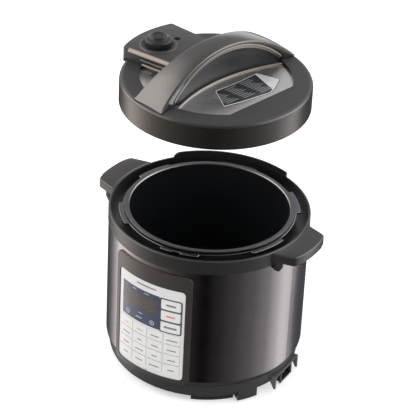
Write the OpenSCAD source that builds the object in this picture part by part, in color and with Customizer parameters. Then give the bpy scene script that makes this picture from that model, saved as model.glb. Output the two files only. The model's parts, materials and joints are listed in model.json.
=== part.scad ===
/* [Pot] */
// Outside diameter of the removable inner pot's wall
pot_d = 236; // [196:1:284]
// Depth of the inner pot, from its rim to its underside
pot_depth = 160; // [130:1:200]
// Thickness of the inner pot's wall
pot_wall = 1.6; // [1.2:0.1:2.5]
// Overhang of the inner pot's rim past its wall
pot_rim = 4; // [3.5:0.1:5]
// Radius of the curve between the inner pot's wall and bottom
pot_corner = 16; // [8:1:24]

/* [Cooking well] */
// Gap between the inner pot and the well around it
well_gap = 3.5; // [2:0.1:6]
// Thickness of the well's sheet metal
well_t = 1; // [0.8:0.1:2]
// Thickness of the locking flange
flange_t = 2; // [1.5:0.1:3]
// Width of the locking flange between its lobes
flange_w = 2; // [1.5:0.1:4]
// Reach of the locking lobes past the flange
lobe_reach = 5.7; // [4.5:0.1:8]
// Angle that one locking lobe takes up
lobe_angle = 25; // [20:0.5:26]
// Height of the heating plate's top above the table
heater_top = 91.4; // [80:0.1:120]

/* [Housing] */
// Height of the shell's lower edge above the table
shell_bottom = 34; // [30:1:40]
// Thickness of the shell's sheet metal
shell_t = 1; // [0.6:0.1:1.5]
// Thickness of the upper ring's outer wall
ring_wall = 3.5; // [2.5:0.1:5]
// Height of the upper ring's visible band
ring_band = 21; // [16:1:28]
// Gap between the locking lobes and the upper ring's wall
channel_gap = 11.3; // [9:0.1:16]
// Reach of a side handle past the upper ring
handle_reach = 31; // [20:1:40]
// Thickness of a side handle
handle_t = 14; // [10:0.5:18]
// Half the angle that a side handle takes up on the ring
handle_half = 19; // [15:0.5:24]
// Height of the guard wall on the ring
guard_h = 7.5; // [6:0.5:14]
// Height of the rubber feet
foot_h = 5; // [3:0.5:8]

/* [Control panel] */
// Half the angle that the panel's bezel takes up
bezel_half = 25.8; // [24:0.1:30]
// Half the angle that the panel's overlay takes up
overlay_half = 22.4; // [21:0.1:23]
// How far the bezel stands out from the shell
bezel_proud = 2.5; // [1.5:0.1:4]
// Travel of a panel key
key_travel = 0.5; // [0.3:0.05:0.8]
// Gap around each key
key_gap = 0.35; // [0.25:0.05:0.6]
// Height of one program key
key_h = 16.2; // [13:0.1:17]

/* [Lid] */
// Clearance between the locking lobes and the lid's metal skirt
lobe_gap = 0.6; // [0.4:0.1:1.5]
// Thickness of the metal lid
lid_t = 1; // [0.8:0.1:2]
// Thickness of the lid's plastic skirt
cover_t = 2; // [1.5:0.1:3]
// Height of the lid's plastic skirt, up to its top face
cover_h = 38; // [34:0.5:45]
// Width of the lid's plastic top ring
cover_ring_w = 28; // [20:0.5:34]
// Height of the arched handle above the lid's top ring
arch_h = 55; // [45:1:70]
// Width of the arched handle at its middle
arch_mid_w = 35; // [28:1:44]
// Width of the arched handle at its two feet
arch_foot_w = 55; // [46:1:64]
// Height of the valve block above the lid's top ring
block_h = 17; // [12:0.5:22]
// Distance of the steam valve inside the pot's rim
valve_inset = 24; // [24:1:34]
// Diameter of the steam valve's skirt
valve_d = 39; // [30:0.5:44]
// Height that the lid is held above its closed place
lid_hover = 192; // [0:1:260]
// Angle that the lid is turned from its locked place
lid_angle = 79; // [0:1:90]

/* [Rear cup] */
// Height of the condensate cup
cup_h = 48; // [36:1:64]
// Depth of the condensate cup away from the housing
cup_depth = 22; // [16:1:34]
// Half the angle that the condensate cup takes up
cup_half = 13; // [10:0.5:16]

/* [Hidden] */
$fn = 96;
pi_deg = 57.29578;
touch_gap = 0.3;         // clearance between pieces that move apart

// pot and well
pot_r = pot_d / 2;
pot_gap = touch_gap;
pot_z = heater_top + pot_gap;
rim_z = pot_z + pot_depth;
rim_t = 2;
rim_r = pot_r + pot_rim;
well_r = pot_r + well_gap + well_t;
flange_r = well_r + flange_w;
lobe_r = flange_r + lobe_reach;
rim_rise = 1.7;          // the pot's rim stands this far over the upper ring
ring_top = rim_z - rim_rise;
flange_top = ring_top - 2.2;
flange_z = flange_top - flange_t;
lobe_count = 6;
lobe_phase = 45;
well_bottom = heater_top - 15;

// housing
ring_in = lobe_r + channel_gap;
ring_r = ring_in + ring_wall;
shell_top = ring_top - ring_band;
shell_r = ring_r - 0.5;
shell_curl = 14;
curl_angle = 45;
channel_z = shell_top - 3;
housing_r = shell_r - shell_curl * (1 - cos(curl_angle)) - shell_t - 0.5;
base_floor = foot_h + 3;
board_z = base_floor + 26;

// control panel
panel_dir = -90;
bezel_r = shell_r + bezel_proud;
bezel_bottom = shell_bottom + 3;
bezel_top = shell_top - 8;
overlay_bottom = bezel_bottom + 7;
overlay_top = bezel_top - 25;
overlay_t = 1;
overlay_r = bezel_r - 0.8;
key_cols = 4;
key_rows = 4;
grid_half = overlay_half - 1.6;
grid_bottom = overlay_bottom + 7.3;
col_step = 2 * grid_half / key_cols;
row_step = key_h + 1.1;
grid_top = grid_bottom + key_rows * row_step;
command_keys = 3;
command_from = 8.2;
command_to = grid_half - 0.4;
command_bottom = grid_top + 2;
command_top = overlay_top - 16.8;
command_step = (command_top - command_bottom) / command_keys;
command_h = command_step - 1.2;
window_from = -grid_half + 1.2;
window_to = command_from - 0.7;
window_bottom = command_bottom;
window_top = command_top;
board_r = overlay_r - overlay_t - 5.2;
key_stem = 2.6;

// lid, in its closed place
lug_angle = 12;
skirt_in = lobe_r + lobe_gap;
skirt_r = skirt_in + lid_t;
cover_in = skirt_r + 0.2;
cover_r = cover_in + cover_t;
lid_bottom = ring_top - 19;
lid_top = lid_bottom + cover_h;
plate_top = lid_top - 4;
plate_r = cover_r - cover_ring_w;
cover_round = 7;
lid_round = 8;
lug_z = flange_z - 0.7 - flange_t;
seal_z = rim_z + touch_gap;
seal_r = skirt_in - 2;
seal_in = rim_r - 8;

// arched handle
arch_reach = cover_r - 3;
arch_top = lid_top + arch_h;
arch_r = (arch_reach * arch_reach + arch_h * arch_h) / (2 * arch_h);
hollow_reach = plate_r;
hollow_h = arch_h - 10;
hollow_r = (hollow_reach * hollow_reach + hollow_h * hollow_h) / (2 * hollow_h);
waist_rise = (arch_foot_w - arch_mid_w) / 2;
waist_r = (arch_reach * arch_reach + waist_rise * waist_rise) / (2 * waist_rise);
web_half = 4;
scoop_rise = arch_foot_w / 2 - web_half;
scoop_r = (hollow_reach * hollow_reach + scoop_rise * scoop_rise) / (2 * scoop_rise);
trim_t = 0.8;
trim_w = 3.6;

// valve block
valve_angle = 102;
valve_r = rim_r - valve_inset;
block_top = lid_top + block_h;
block_r = ring_in - 3;
block_from = 73;
block_to = 117;
block_low = lid_top - 7;
float_r = 3.5;
float_bore = 4.6;
float_x = 13;
float_y = valve_r - 5.5;
valve_x = valve_r * cos(valve_angle);
valve_y = valve_r * sin(valve_angle);
vent_r = 4;
vent_bore = 2;
shield_r = 9.5;
valve_seat_z = block_top + 2;
valve_h = 14;

// rear cup and inlet
cup_dir = 110;
cup_top = shell_top - 9;
cup_wall = 1.8;
cup_in = shell_r + 3.4;
inlet_dir = 4;
inlet_w = 68;
inlet_x = shell_r - 2;
inlet_z = 22;

// ---- shared shapes ----

// ring or tube about the vertical axis
module tube(r_out, r_in, z0, z1) {
  rotate_extrude() translate([r_in, z0]) square([r_out - r_in, z1 - z0]);
}

// part of a ring between two angles
module arc_wall(r_out, r_in, z0, z1, from, to) {
  rotate([0, 0, from]) rotate_extrude(angle = to - from)
    translate([r_in, z0]) square([r_out - r_in, z1 - z0]);
}

// points of a round stretch in the plane, about (cx, cy)
function arc_points(cx, cy, r, from, to, n = 8) =
  [for (i = [0 : n]) [cx + r * cos(from + (to - from) * i / n), cy + r * sin(from + (to - from) * i / n)]];

// curved plate on a cylinder with rounded corners, facing the panel's direction
module curved_plate(r_out, t, from, to, z0, z1, corner, face_r = 0) {
  reach = r_out + 5;
  face = face_r > 0 ? face_r : r_out;
  intersection() {
    arc_wall(r_out, r_out - t, z0 - 1, z1 + 1, panel_dir + from - 2, panel_dir + to + 2);
    rotate([90, 0, 0]) linear_extrude(reach)
      offset(r = corner, $fn = 24) offset(delta = -corner)
        polygon([[face * sin(from), z0], [face * sin(to), z0],
                 [face * sin(to), z1], [face * sin(from), z1]]);
  }
}

// places its children where the lid hovers over the housing
module at_lid() {
  translate([0, 0, lid_hover]) rotate([0, 0, lid_angle]) children();
}

// ---- housing ----

module outer_shell() {
  zc = shell_bottom + shell_curl * sin(curl_angle);
  rc = shell_r - shell_curl;
  color([0.30, 0.27, 0.28]) difference() {
    rotate_extrude() polygon(concat(
      [[shell_r, shell_top]],
      arc_points(rc, zc, shell_curl, 0, -curl_angle),
      arc_points(rc, zc, shell_curl - shell_t, -curl_angle, 0),
      [[shell_r - shell_t, shell_top]]));
    // window behind the control panel
    arc_wall(shell_r + 5, shell_r - 10, bezel_bottom + 4, bezel_top - 4,
      panel_dir - bezel_half + 1.5, panel_dir + bezel_half - 1.5);
    // notch over the power inlet
    arc_wall(shell_r + 5, shell_r - 20, shell_bottom - 2, shell_bottom + 7, inlet_dir - 17, inlet_dir + 17);
    // screw holes of the cup's bracket
    rotate([0, 0, cup_dir]) for (z = [cup_top - cup_h + 12, cup_top - 10])
      translate([shell_r - 8, 0, z]) rotate([0, 90, 0]) cylinder(r = 1.8, h = 16, $fn = 24);
  }
}

module top_ring() {
  lip_r = flange_r - 0.2;
  lip_in = well_r + 0.2;
  color([0.26, 0.25, 0.24]) difference() {
    union() {
      // wall, channel floor and inner lip in one profile
      rotate_extrude() polygon(concat(
        [[shell_r - shell_t - 0.2, channel_z - 3], [shell_r - shell_t - 0.2, shell_top], [ring_r, shell_top]],
        arc_points(ring_r - 1.8, ring_top - 1.8, 1.8, 0, 90, 4),
        [[ring_in, ring_top], [ring_in, channel_z], [lip_r, channel_z],
         [lip_r, flange_z], [lip_in, flange_z], [lip_in, channel_z - 3]]));
      // guard wall round the valve block's path
      rotate([0, 0, 73]) rotate_extrude(angle = 69)
        polygon(concat([[ring_in + 0.3, ring_top - 3], [ring_r - 0.2, ring_top - 3]],
          arc_points(ring_r - 1.7, ring_top + guard_h - 1.5, 1.5, 0, 90, 4),
          [[ring_in + 0.3, ring_top + guard_h]]));
    }
    // drain from the channel to the rear cup
    rotate([0, 0, cup_dir]) translate([ring_in - 5, 0, channel_z - 4]) cylinder(r = 2.5, h = 8, $fn = 24);
  }
}

module side_handle() {
  outer = ring_r + handle_reach;
  root = ring_r * sin(handle_half);
  tip = root * 0.82;
  color([0.25, 0.24, 0.23]) difference() {
    union() {
      translate([0, 0, ring_top - handle_t]) linear_extrude(handle_t) difference() {
        offset(r = 7, $fn = 32) offset(delta = -7) intersection() {
          circle(r = outer);
          polygon([[ring_r - 20, -root], [ring_r, -root], [outer + 5, -tip],
                   [outer + 5, tip], [ring_r, root], [ring_r - 20, root]]);
        }
        circle(r = ring_r + 0.1);
      }
      // hooked webs under both ends of the grip
      for (s = [-1, 1]) translate([ring_r * cos(handle_half), s * (root - 5), shell_top - 5])
        rotate([90, 0, 0]) translate([0, 0, -1.6]) linear_extrude(3.2)
          polygon([[0, 0], [6, 0], [16, 12.1], [16, ring_top - handle_t - shell_top + 6], [0, ring_top - handle_t - shell_top + 6]]);
    }
    translate([0, 0, shell_top - 10]) cylinder(r = ring_r + 0.1, h = 60);
    // hollow of the grip's underside
    translate([0, 0, ring_top - handle_t - 1]) linear_extrude(handle_t - 3.5)
      intersection() {
        difference() { circle(r = outer - 4); circle(r = ring_r + 5); }
        translate([ring_r, -tip + 10]) square([handle_reach, 2 * tip - 20]);
      }
  }
}

module handle_right() { side_handle(); }
module handle_left() { rotate([0, 0, 180]) side_handle(); }

module base_housing() {
  r = housing_r;
  color([0.16, 0.16, 0.17]) difference() {
    union() {
      rotate_extrude() polygon(concat(
        [[r - 2.5, shell_bottom + 9], [r, shell_bottom + 9], [r, shell_bottom - 0.3], [r + 0.6, shell_bottom - 0.3]],
        arc_points(r - 13.4, shell_bottom - 12, 14, 0, -60, 6),
        [[r - 15, foot_h + 1], [r - 24, foot_h + 1], [r - 24, foot_h + 4]],
        [[r - 12, foot_h + 4]],
        arc_points(r - 13.4, shell_bottom - 11, 11, -40, 0, 4)));
      // block beside the inlet
      arc_wall(r + 0.4, r - 14, 2, shell_bottom - 4, -34, -21);
      // posts for the boards and cover screws
      for (a = [45 : 90 : 315]) rotate([0, 0, a]) translate([r - 30, 0, foot_h + 2.7]) {
        cylinder(r = 4.5, h = board_z - foot_h - 2.7, $fn = 32);
        translate([0, -1.2, 0]) cube([20, 2.4, 12]);
      }
    }
    // screw bores
    for (a = [45 : 90 : 315]) rotate([0, 0, a]) translate([r - 30, 0, foot_h - 1])
      cylinder(r = 1.4, h = board_z, $fn = 24);
    // cooling slots between the feet
    for (a = [100 : 5 : 160]) rotate([0, 0, a]) translate([r - 4, -1.2, foot_h + 6]) cube([8, 2.4, 14]);
    // slots that hold the inlet's hood
    hood_shape(0.05);
    // opening for the power inlet
    rotate([0, 0, inlet_dir]) translate([r - 30, -15.2, 4]) cube([40, 30.4, inlet_z - 4.2]);
  }
}

module bottom_cover() {
  rc = housing_r - 24.4;
  color([0.13, 0.13, 0.14]) difference() {
    translate([0, 0, foot_h + 1]) cylinder(r = rc, h = 1.6);
    for (a = [45 : 90 : 315]) rotate([0, 0, a]) translate([housing_r - 30, 0, foot_h - 2])
      cylinder(r = 1.8, h = 8, $fn = 24);
    for (x = [-60 : 10 : 60]) translate([x - 2, -22, foot_h - 1]) cube([4, 44, 6]);
    rotate([0, 0, inlet_dir]) translate([rc - 16, -17, foot_h - 1]) cube([30, 34, 6]);
  }
}

module rubber_feet() {
  r = housing_r;
  color([0.08, 0.08, 0.08]) for (a = [-49 : 90 : 221])
    arc_wall(r - 11, r - 22, 0, foot_h + 1, a - 14, a + 14);
}

module base_screws() {
  color([0.6, 0.6, 0.62]) for (a = [45 : 90 : 315]) rotate([0, 0, a])
    translate([housing_r - 30, 0, foot_h - 1.2]) {
      cylinder(r = 1.3, h = 14, $fn = 24);
      difference() {
        cylinder(r = 3.2, h = 2.2, $fn = 32);
        for (t = [0, 90]) rotate([0, 0, t]) translate([-2, -0.4, -1]) cube([4, 0.8, 2.2]);
      }
    }
}

// ---- control panel ----

module panel_bezel() {
  t = bezel_r - shell_r + 3.5;
  color([0.22, 0.21, 0.20]) difference() {
    union() {
      curved_plate(bezel_r, bezel_proud - 0.1, -bezel_half, bezel_half, bezel_bottom, bezel_top, 9);
      curved_plate(bezel_r, t, -bezel_half + 2.4, bezel_half - 2.4, bezel_bottom + 4.5, bezel_top - 4.5, 6);
    }
    // seat of the overlay and the keys behind it
    curved_plate(bezel_r + 1, 1 + bezel_r - overlay_r + overlay_t, -overlay_half - 0.15, overlay_half + 0.15,
      overlay_bottom - 0.3, overlay_top + 0.3, 6);
    curved_plate(bezel_r + 1, t + 4, -overlay_half + 0.8, overlay_half - 0.8, overlay_bottom + 2, overlay_top - 2, 5);
  }
}

module key_space(from, to, z0, z1, gap) {
  g = gap / overlay_r * pi_deg;
  curved_plate(overlay_r + 2, 6, from - g, to + g, z0 - gap, z1 + gap, 2.6, overlay_r + 0.3);
}

function col_from(c) = -grid_half + (c - 1) * col_step;
function row_z(r) = grid_bottom + (key_rows - r) * row_step;
function command_z(i) = command_bottom + (command_keys - i) * command_step;

module panel_overlay() {
  color([0.80, 0.80, 0.79]) difference() {
    curved_plate(overlay_r, overlay_t, -overlay_half, overlay_half, overlay_bottom, overlay_top, 6);
    for (r = [1 : key_rows], c = [1 : key_cols])
      key_space(col_from(c) + 0.35, col_from(c) + col_step - 0.35, row_z(r), row_z(r) + key_h, key_gap);
    for (i = [1 : command_keys])
      key_space(command_from, command_to, command_z(i), command_z(i) + command_h, key_gap);
    curved_plate(overlay_r + 2, 6, window_from, window_to, window_bottom, window_top, 1.5, overlay_r);
  }
}

module panel_key(from, to, z0, z1) {
  mid = (from + to) / 2;
  curved_plate(overlay_r + 0.3, overlay_t + 0.3, from, to, z0, z1, 2.4);
  // plunger down to the switch behind the key
  rotate([0, 0, panel_dir + mid]) translate([overlay_r - overlay_t - key_stem, 0, (z0 + z1) / 2])
    rotate([0, 90, 0]) cylinder(r = 1.8, h = key_stem + 0.4, $fn = 24);
}

module command_key(i) {
  panel_key(command_from, command_to, command_z(i), command_z(i) + command_h);
}

module program_key(r, c) {
  panel_key(col_from(c) + 0.35, col_from(c) + col_step - 0.35, row_z(r), row_z(r) + key_h);
}

module display_window() {
  color([0.20, 0.22, 0.28]) curved_plate(overlay_r - 0.1, overlay_t + 0.4, window_from + 0.1, window_to - 0.1,
    window_bottom + 0.2, window_top - 0.2, 1.3);
}

// seven bars of one digit, standing on the module's face
module digit(w, h) {
  bar = 1.1;
  for (z = [-h / 2, 0, h / 2]) translate([-w / 2 + bar, 0, z - bar / 2]) cube([w - 2 * bar, 0.4, bar]);
  for (x = [-w / 2, w / 2 - bar], z = [-h / 2 + bar, bar]) translate([x, 0, z]) cube([bar, 0.4, h / 2 - 2 * bar]);
}

module display_digits() {
  w = (window_to - window_from) * (overlay_r - 4) / pi_deg;
  mid = (window_from + window_to) / 2;
  zc = (window_bottom + window_top) / 2 + 2;
  color([0.55, 0.30, 0.14]) rotate([0, 0, mid]) translate([0, -(board_r + 0.05), zc]) {
    translate([-w * 0.42, -1.4, -10]) cube([w * 0.84, 1.4, 20]);
    for (i = [-1.5 : 1 : 1.5]) translate([i * w * 0.2, -1.8, 0]) digit(w * 0.13, 13);
  }
}

module control_board() {
  color([0.10, 0.32, 0.16]) union() {
    curved_plate(board_r, 1.2, -overlay_half + 1.4, overlay_half - 1.4, overlay_bottom + 3, overlay_top - 3, 2);
    rotate([0, 0, panel_dir]) for (z = [70, 110, 150])
      translate([board_r - 4.4, -9, z]) cube([3.4, 18, 9]);
  }
}

module tact_switch_at(mid, z) {
  rotate([0, 0, panel_dir + mid]) translate([board_r, 0, z]) rotate([0, 90, 0]) {
    cylinder(r = 2.6, h = 1.1, $fn = 24);
    cylinder(r = 1.2, h = 5.2 - key_stem - key_travel - 0.1, $fn = 24);
  }
}

module tact_switches() {
  color([0.75, 0.75, 0.72]) {
    for (r = [1 : key_rows], c = [1 : key_cols])
      tact_switch_at(col_from(c) + col_step / 2, row_z(r) + key_h / 2);
    for (i = [1 : command_keys])
      tact_switch_at((command_from + command_to) / 2, command_z(i) + command_h / 2);
  }
}

// ---- heating and electrics ----

module outer_pot() {
  inner = well_r - well_t;
  color([0.62, 0.63, 0.65]) difference() {
    union() {
      rotate_extrude() polygon([
        [well_r, well_bottom], [well_r, flange_z], [flange_r, flange_z], [flange_r, flange_top],
        [inner, flange_top], [inner, well_bottom + well_t + 0.5],
        [pot_r - 22, well_bottom + well_t + 0.5], [pot_r - 22, heater_top - 9],
        [pot_r - 34, heater_top - 9], [pot_r - 34, well_bottom]]);
      for (i = [0 : lobe_count - 1]) arc_wall(lobe_r, flange_r - 1, flange_z, flange_top,
        lobe_phase + i * 360 / lobe_count - lobe_angle / 2, lobe_phase + i * 360 / lobe_count + lobe_angle / 2);
    }
    // notch in the front left lobe for the lid's locking pin
    rotate([0, 0, lobe_phase + 240]) translate([lobe_r - 3, -10, flange_z - 1]) cube([10, 12, flange_t + 2]);
  }
}

module heating_plate() {
  color([0.70, 0.71, 0.72]) difference() {
    rotate_extrude() polygon([[13, heater_top - 9], [pot_r - 23, heater_top - 9], [pot_r - 23, heater_top - 1],
      [pot_r - 26, heater_top], [13, heater_top]]);
    translate([50, 0, heater_top - 12]) cylinder(r = 1.6, h = 6, $fn = 24);
  }
}

module heating_element() {
  r = 62;
  z = heater_top - 13;
  color([0.45, 0.44, 0.43]) {
    rotate([0, 0, 120]) rotate_extrude(angle = 300) translate([r, 0]) {
      translate([-4, z]) square([8, 4]);
      translate([0, z]) circle(r = 4, $fn = 32);
    }
    for (a = [121, 59]) rotate([0, 0, a]) translate([r, 0, z - 26]) cylinder(r = 3, h = 27, $fn = 32);
  }
}

module temp_sensor() {
  color([0.74, 0.75, 0.77]) translate([0, 0, heater_top + 2.8]) {
    difference() {
      union() {
        translate([0, 0, -1.6]) cylinder(r = 12.2, h = 1.6);
        translate([0, 0, -14]) cylinder(r = 11, h = 13);
      }
      translate([0, 0, -15]) cylinder(r = 10, h = 13.2);
    }
    translate([0, 0, -20]) cylinder(r = 2.4, h = 18.6, $fn = 32);
  }
}

module sensor_spring() {
  turns = 5;
  h = 14;
  color([0.66, 0.67, 0.70]) translate([0, 0, heater_top - 13.4])
    linear_extrude(height = h, twist = -360 * turns, slices = turns * 20, convexity = 10, $fn = 8)
      translate([7, 0]) scale([1, 2.2]) circle(r = 0.7, $fn = 8);
}

module thermal_fuse() {
  color([0.85, 0.80, 0.70]) rotate([0, 0, 200]) translate([34, 0, heater_top - 12.1]) {
    rotate([90, 0, 0]) translate([0, 0, -12]) cylinder(r = 3, h = 24, $fn = 32);
    translate([-5, -5, 2.4]) cube([10, 10, 0.7]);
    translate([-0.9, -5, 0]) cube([1.8, 10, 3]);
  }
}

module pressure_switch() {
  color([0.22, 0.22, 0.24]) {
    difference() {
      translate([0, 0, well_bottom - 15]) cylinder(r = 30, h = 2);
      translate([0, 0, well_bottom - 16]) cylinder(r = 5, h = 5);
    }
    // three straps up to the well
    for (a = [30, 150, 270]) rotate([0, 0, a]) {
      translate([26, -5, well_bottom - 14]) cube([pot_r - 34 - 26 + 8, 10, 1.4]);
      translate([pot_r - 34 + 1, -5, well_bottom - 14]) cube([7, 10, 14]);
    }
    translate([-10, 14, well_bottom - 25]) cube([20, 12, 10.2]);
    translate([-1.5, 18.5, well_bottom - 13.2]) cube([3, 3, 4]);
  }
}

module power_board() {
  z = board_z + 0.1;
  r = housing_r - 30;
  reach = r * cos(45);
  color([0.14, 0.36, 0.20]) union() {
    difference() {
      translate([-reach - 6, -reach - 6, z]) cube([2 * reach + 12, 40, 1.6]);
      for (s = [-1, 1]) translate([s * reach, -reach, z - 1]) cylinder(r = 1.6, h = 4, $fn = 24);
    }
    translate([-50, -reach + 2, z + 1.5]) cube([26, 22, 18]);
    translate([-14, -reach + 4, z + 1.5]) cube([18, 14, 15]);
    translate([22, -reach + 12, z + 1.5]) cylinder(r = 8, h = 16, $fn = 32);
    translate([42, -reach + 12, z + 1.5]) cylinder(r = 6, h = 13, $fn = 32);
  }
}

// hood over the inlet, with a fin at each end
module hood_shape(grow) {
  root = housing_r - 6;
  fin_t = 2.6 + 2 * grow;
  rotate([0, 0, inlet_dir]) {
    translate([root, -inlet_w / 2 - grow, inlet_z - grow])
      cube([inlet_x - root, inlet_w + 2 * grow, 2.4 + 2 * grow]);
    for (s = [-1, 1]) translate([0, s * (inlet_w / 2 - 1.3), 0]) rotate([90, 0, 0])
      translate([0, 0, -fin_t / 2]) linear_extrude(fin_t)
        polygon([[root, inlet_z + 1], [inlet_x, inlet_z + 1], [inlet_x, foot_h - 2],
          [inlet_x - 2.5, foot_h - 2], [root, inlet_z - 6 - grow]]);
  }
}

module inlet_hood() {
  color([0.20, 0.20, 0.21]) hood_shape(0);
}

module power_inlet() {
  back = housing_r - 27;
  front = housing_r + 1;
  color([0.10, 0.10, 0.10]) rotate([0, 0, inlet_dir]) difference() {
    union() {
      translate([back, -15, 4.2]) cube([front - back, 30, inlet_z - 4.4]);
      translate([front - 0.1, -17, 3.2]) cube([2, 34, inlet_z - 3.4]);
    }
    // socket
    translate([front - 16, -12.5, 6]) cube([20, 25, inlet_z - 8.2]);
    pin_blades();
  }
}

// the three blades of the inlet, in the inlet's own direction
module pin_blades() {
  root = housing_r - 17;
  for (y = [-8, 8]) translate([root, y - 1, 14.2]) cube([15, 2, 4]);
  translate([root, -1, 11.2]) cube([16, 2, 4]);
}

module inlet_pins() {
  color([0.80, 0.74, 0.55]) rotate([0, 0, inlet_dir]) pin_blades();
}

// ---- rear cup ----

module cup_bracket() {
  color([0.18, 0.18, 0.18]) difference() {
    union() {
      arc_wall(shell_r + 2.6, shell_r + 0.1, cup_top - cup_h - 3, shell_top - 1, cup_dir - cup_half + 2, cup_dir + cup_half - 2);
      // spout over the cup
      arc_wall(shell_r + 12, shell_r + 1, cup_top + 1.5, shell_top - 1, cup_dir - 4, cup_dir + 4);
      // shelf that the cup slides onto
      arc_wall(cup_in + cup_depth - 4, shell_r + 1, cup_top - cup_h - 3, cup_top - cup_h - 0.5, cup_dir - 5, cup_dir + 5);
    }
    rotate([0, 0, cup_dir]) translate([shell_r + 7, 0, cup_top]) cylinder(r = 2.5, h = 20, $fn = 24);
    rotate([0, 0, cup_dir]) for (z = [cup_top - cup_h + 12, cup_top - 10])
      translate([shell_r - 8, 0, z]) rotate([0, 90, 0]) cylinder(r = 1.4, h = 30, $fn = 24);
  }
}

module condensate_cup() {
  r_out = cup_in + cup_depth;
  g = cup_wall / r_out * pi_deg;
  color([0.62, 0.66, 0.70]) difference() {
    arc_wall(r_out, cup_in, cup_top - cup_h, cup_top, cup_dir - cup_half, cup_dir + cup_half);
    arc_wall(r_out - cup_wall, cup_in + cup_wall, cup_top - cup_h + cup_wall, cup_top + 1,
      cup_dir - cup_half + g, cup_dir + cup_half - g);
  }
}

// ---- inner pot ----

module inner_pot() {
  inside = pot_r - pot_wall;
  dimple = 16;
  color([0.12, 0.13, 0.14]) rotate_extrude() polygon(concat(
    [[0, pot_z + 3.4], [dimple - 3, pot_z + 3.4], [dimple, pot_z]],
    arc_points(pot_r - pot_corner, pot_z + pot_corner, pot_corner, -90, 0, 6),
    [[pot_r, rim_z - rim_t], [rim_r, rim_z - rim_t], [rim_r, rim_z - 0.6], [rim_r - 0.6, rim_z],
     [inside + 1, rim_z], [inside, rim_z - 1]],
    arc_points(pot_r - pot_corner, pot_z + pot_corner, pot_corner - pot_wall, 0, -90, 6),
    [[dimple + 1, pot_z + pot_wall], [dimple - 2, pot_z + 3.4 + pot_wall], [0, pot_z + 3.4 + pot_wall]]));
}

// ---- lid ----

module sealing_ring() {
  color([0.85, 0.86, 0.86]) translate([0, 0, lid_hover]) rotate_extrude() polygon([
    [seal_in, seal_z + 1], [rim_r + 2, seal_z], [seal_r, seal_z], [seal_r, plate_top - lid_t - 3.5],
    [rim_r - 1, plate_top - lid_t - 3.5], [rim_r - 1, seal_z + 3], [seal_in, seal_z + 2.4]]);
}

module gasket_frame() {
  z = plate_top - lid_t - 6.5;
  color([0.72, 0.73, 0.75]) translate([0, 0, lid_hover]) difference() {
    union() {
      tube(rim_r - 1.2, rim_r - 3.4, seal_z + 3.6, z + 3);
      tube(rim_r - 1.2, rim_r - 14, z + 1.6, z + 3);
    }
    for (a = [0 : 30 : 330]) rotate([0, 0, a]) translate([rim_r - 9, 0, z]) cylinder(r = 3, h = 5, $fn = 24);
  }
}

module lid_metal() {
  color([0.72, 0.71, 0.69]) at_lid() difference() {
    union() {
      rotate_extrude() polygon(concat(
        [[skirt_in, lug_z], [skirt_r, lug_z]],
        arc_points(skirt_r - lid_round, plate_top - lid_round, lid_round, 0, 90, 6),
        [[0, plate_top], [0, plate_top - lid_t]],
        arc_points(skirt_r - lid_round, plate_top - lid_round, lid_round - lid_t, 90, 0, 6)));
      for (i = [0 : lobe_count - 1]) arc_wall(skirt_in + 0.2, flange_r + 1, lug_z, lug_z + flange_t,
        lobe_phase + i * 360 / lobe_count - lug_angle / 2, lobe_phase + i * 360 / lobe_count + lug_angle / 2);
    }
    translate([valve_x, valve_y, plate_top - 6]) cylinder(r = vent_r + 0.05, h = 12, $fn = 48);
    translate([float_x, float_y, plate_top - 6]) cylinder(r = float_bore, h = 12, $fn = 48);
  }
}

module block_outline() {
  intersection() {
    circle(r = block_r);
    offset(r = 6, $fn = 32) offset(delta = -6)
      polygon([[-31, -10], [-block_r * 0.445, block_r * 0.88], [-block_r * 0.4, block_r + 20],
               [block_r * 0.3, block_r + 20], [block_r * 0.3, block_r * 0.85], [52, -10]]);
    // follows the waist of the arched handle
    translate([0, arch_mid_w / 2 + waist_r]) circle(r = waist_r - 1.2, $fn = 200);
  }
}

module arch_outline() {
  intersection() {
    square([2 * cover_r + 20, arch_foot_w + 10], center = true);
    difference() {
      circle(r = cover_r - 1);
      for (s = [-1, 1]) translate([0, s * (arch_mid_w / 2 + waist_r)]) circle(r = waist_r, $fn = 200);
    }
  }
}

module lid_cover() {
  color([0.22, 0.22, 0.23]) at_lid() difference() {
    rotate_extrude() polygon(concat(
      [[cover_in, lid_bottom], [cover_r, lid_bottom]],
      arc_points(cover_r - cover_round, lid_top - cover_round, cover_round, 0, 80, 6),
      [[cover_r - cover_round - 2, lid_top], [plate_r, lid_top], [plate_r, plate_top + 0.05]],
      [[skirt_r - lid_round, plate_top + 0.05]],
      arc_points(skirt_r - lid_round, plate_top - lid_round, lid_round + 0.2, 90, 0)));
    // opening for the pins of the valve block
    translate([valve_x, valve_y, plate_top]) cylinder(r = 12, h = 12, $fn = 48);
    translate([float_x, float_y, plate_top]) cylinder(r = float_bore + 1, h = 12, $fn = 48);
  }
}

module chord_pad() {
  z = plate_top + 0.05;
  chord = plate_r * 0.82;
  color([0.22, 0.22, 0.23]) at_lid() translate([0, 0, z]) linear_extrude(lid_top - z)
    intersection() {
      circle(r = plate_r);
      translate([-plate_r, -2 * plate_r - chord]) square([2 * plate_r, 2 * plate_r]);
    }
}

module arch_side() {
  difference() {
    translate([0, arch_top - arch_r]) circle(r = arch_r, $fn = 200);
    translate([-arch_reach - 60, lid_top - 400]) square([2 * arch_reach + 120, 400]);
  }
}

module hollow_side() {
  difference() {
    translate([0, lid_top + hollow_h - hollow_r]) circle(r = hollow_r, $fn = 200);
    translate([-hollow_reach - 60, plate_top - 400.2]) square([2 * hollow_reach + 120, 400]);
  }
}

module scoops() {
  for (s = [-1, 1]) translate([0, s * (web_half + scoop_r), lid_top + 4]) sphere(r = scoop_r, $fn = 200);
}

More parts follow.
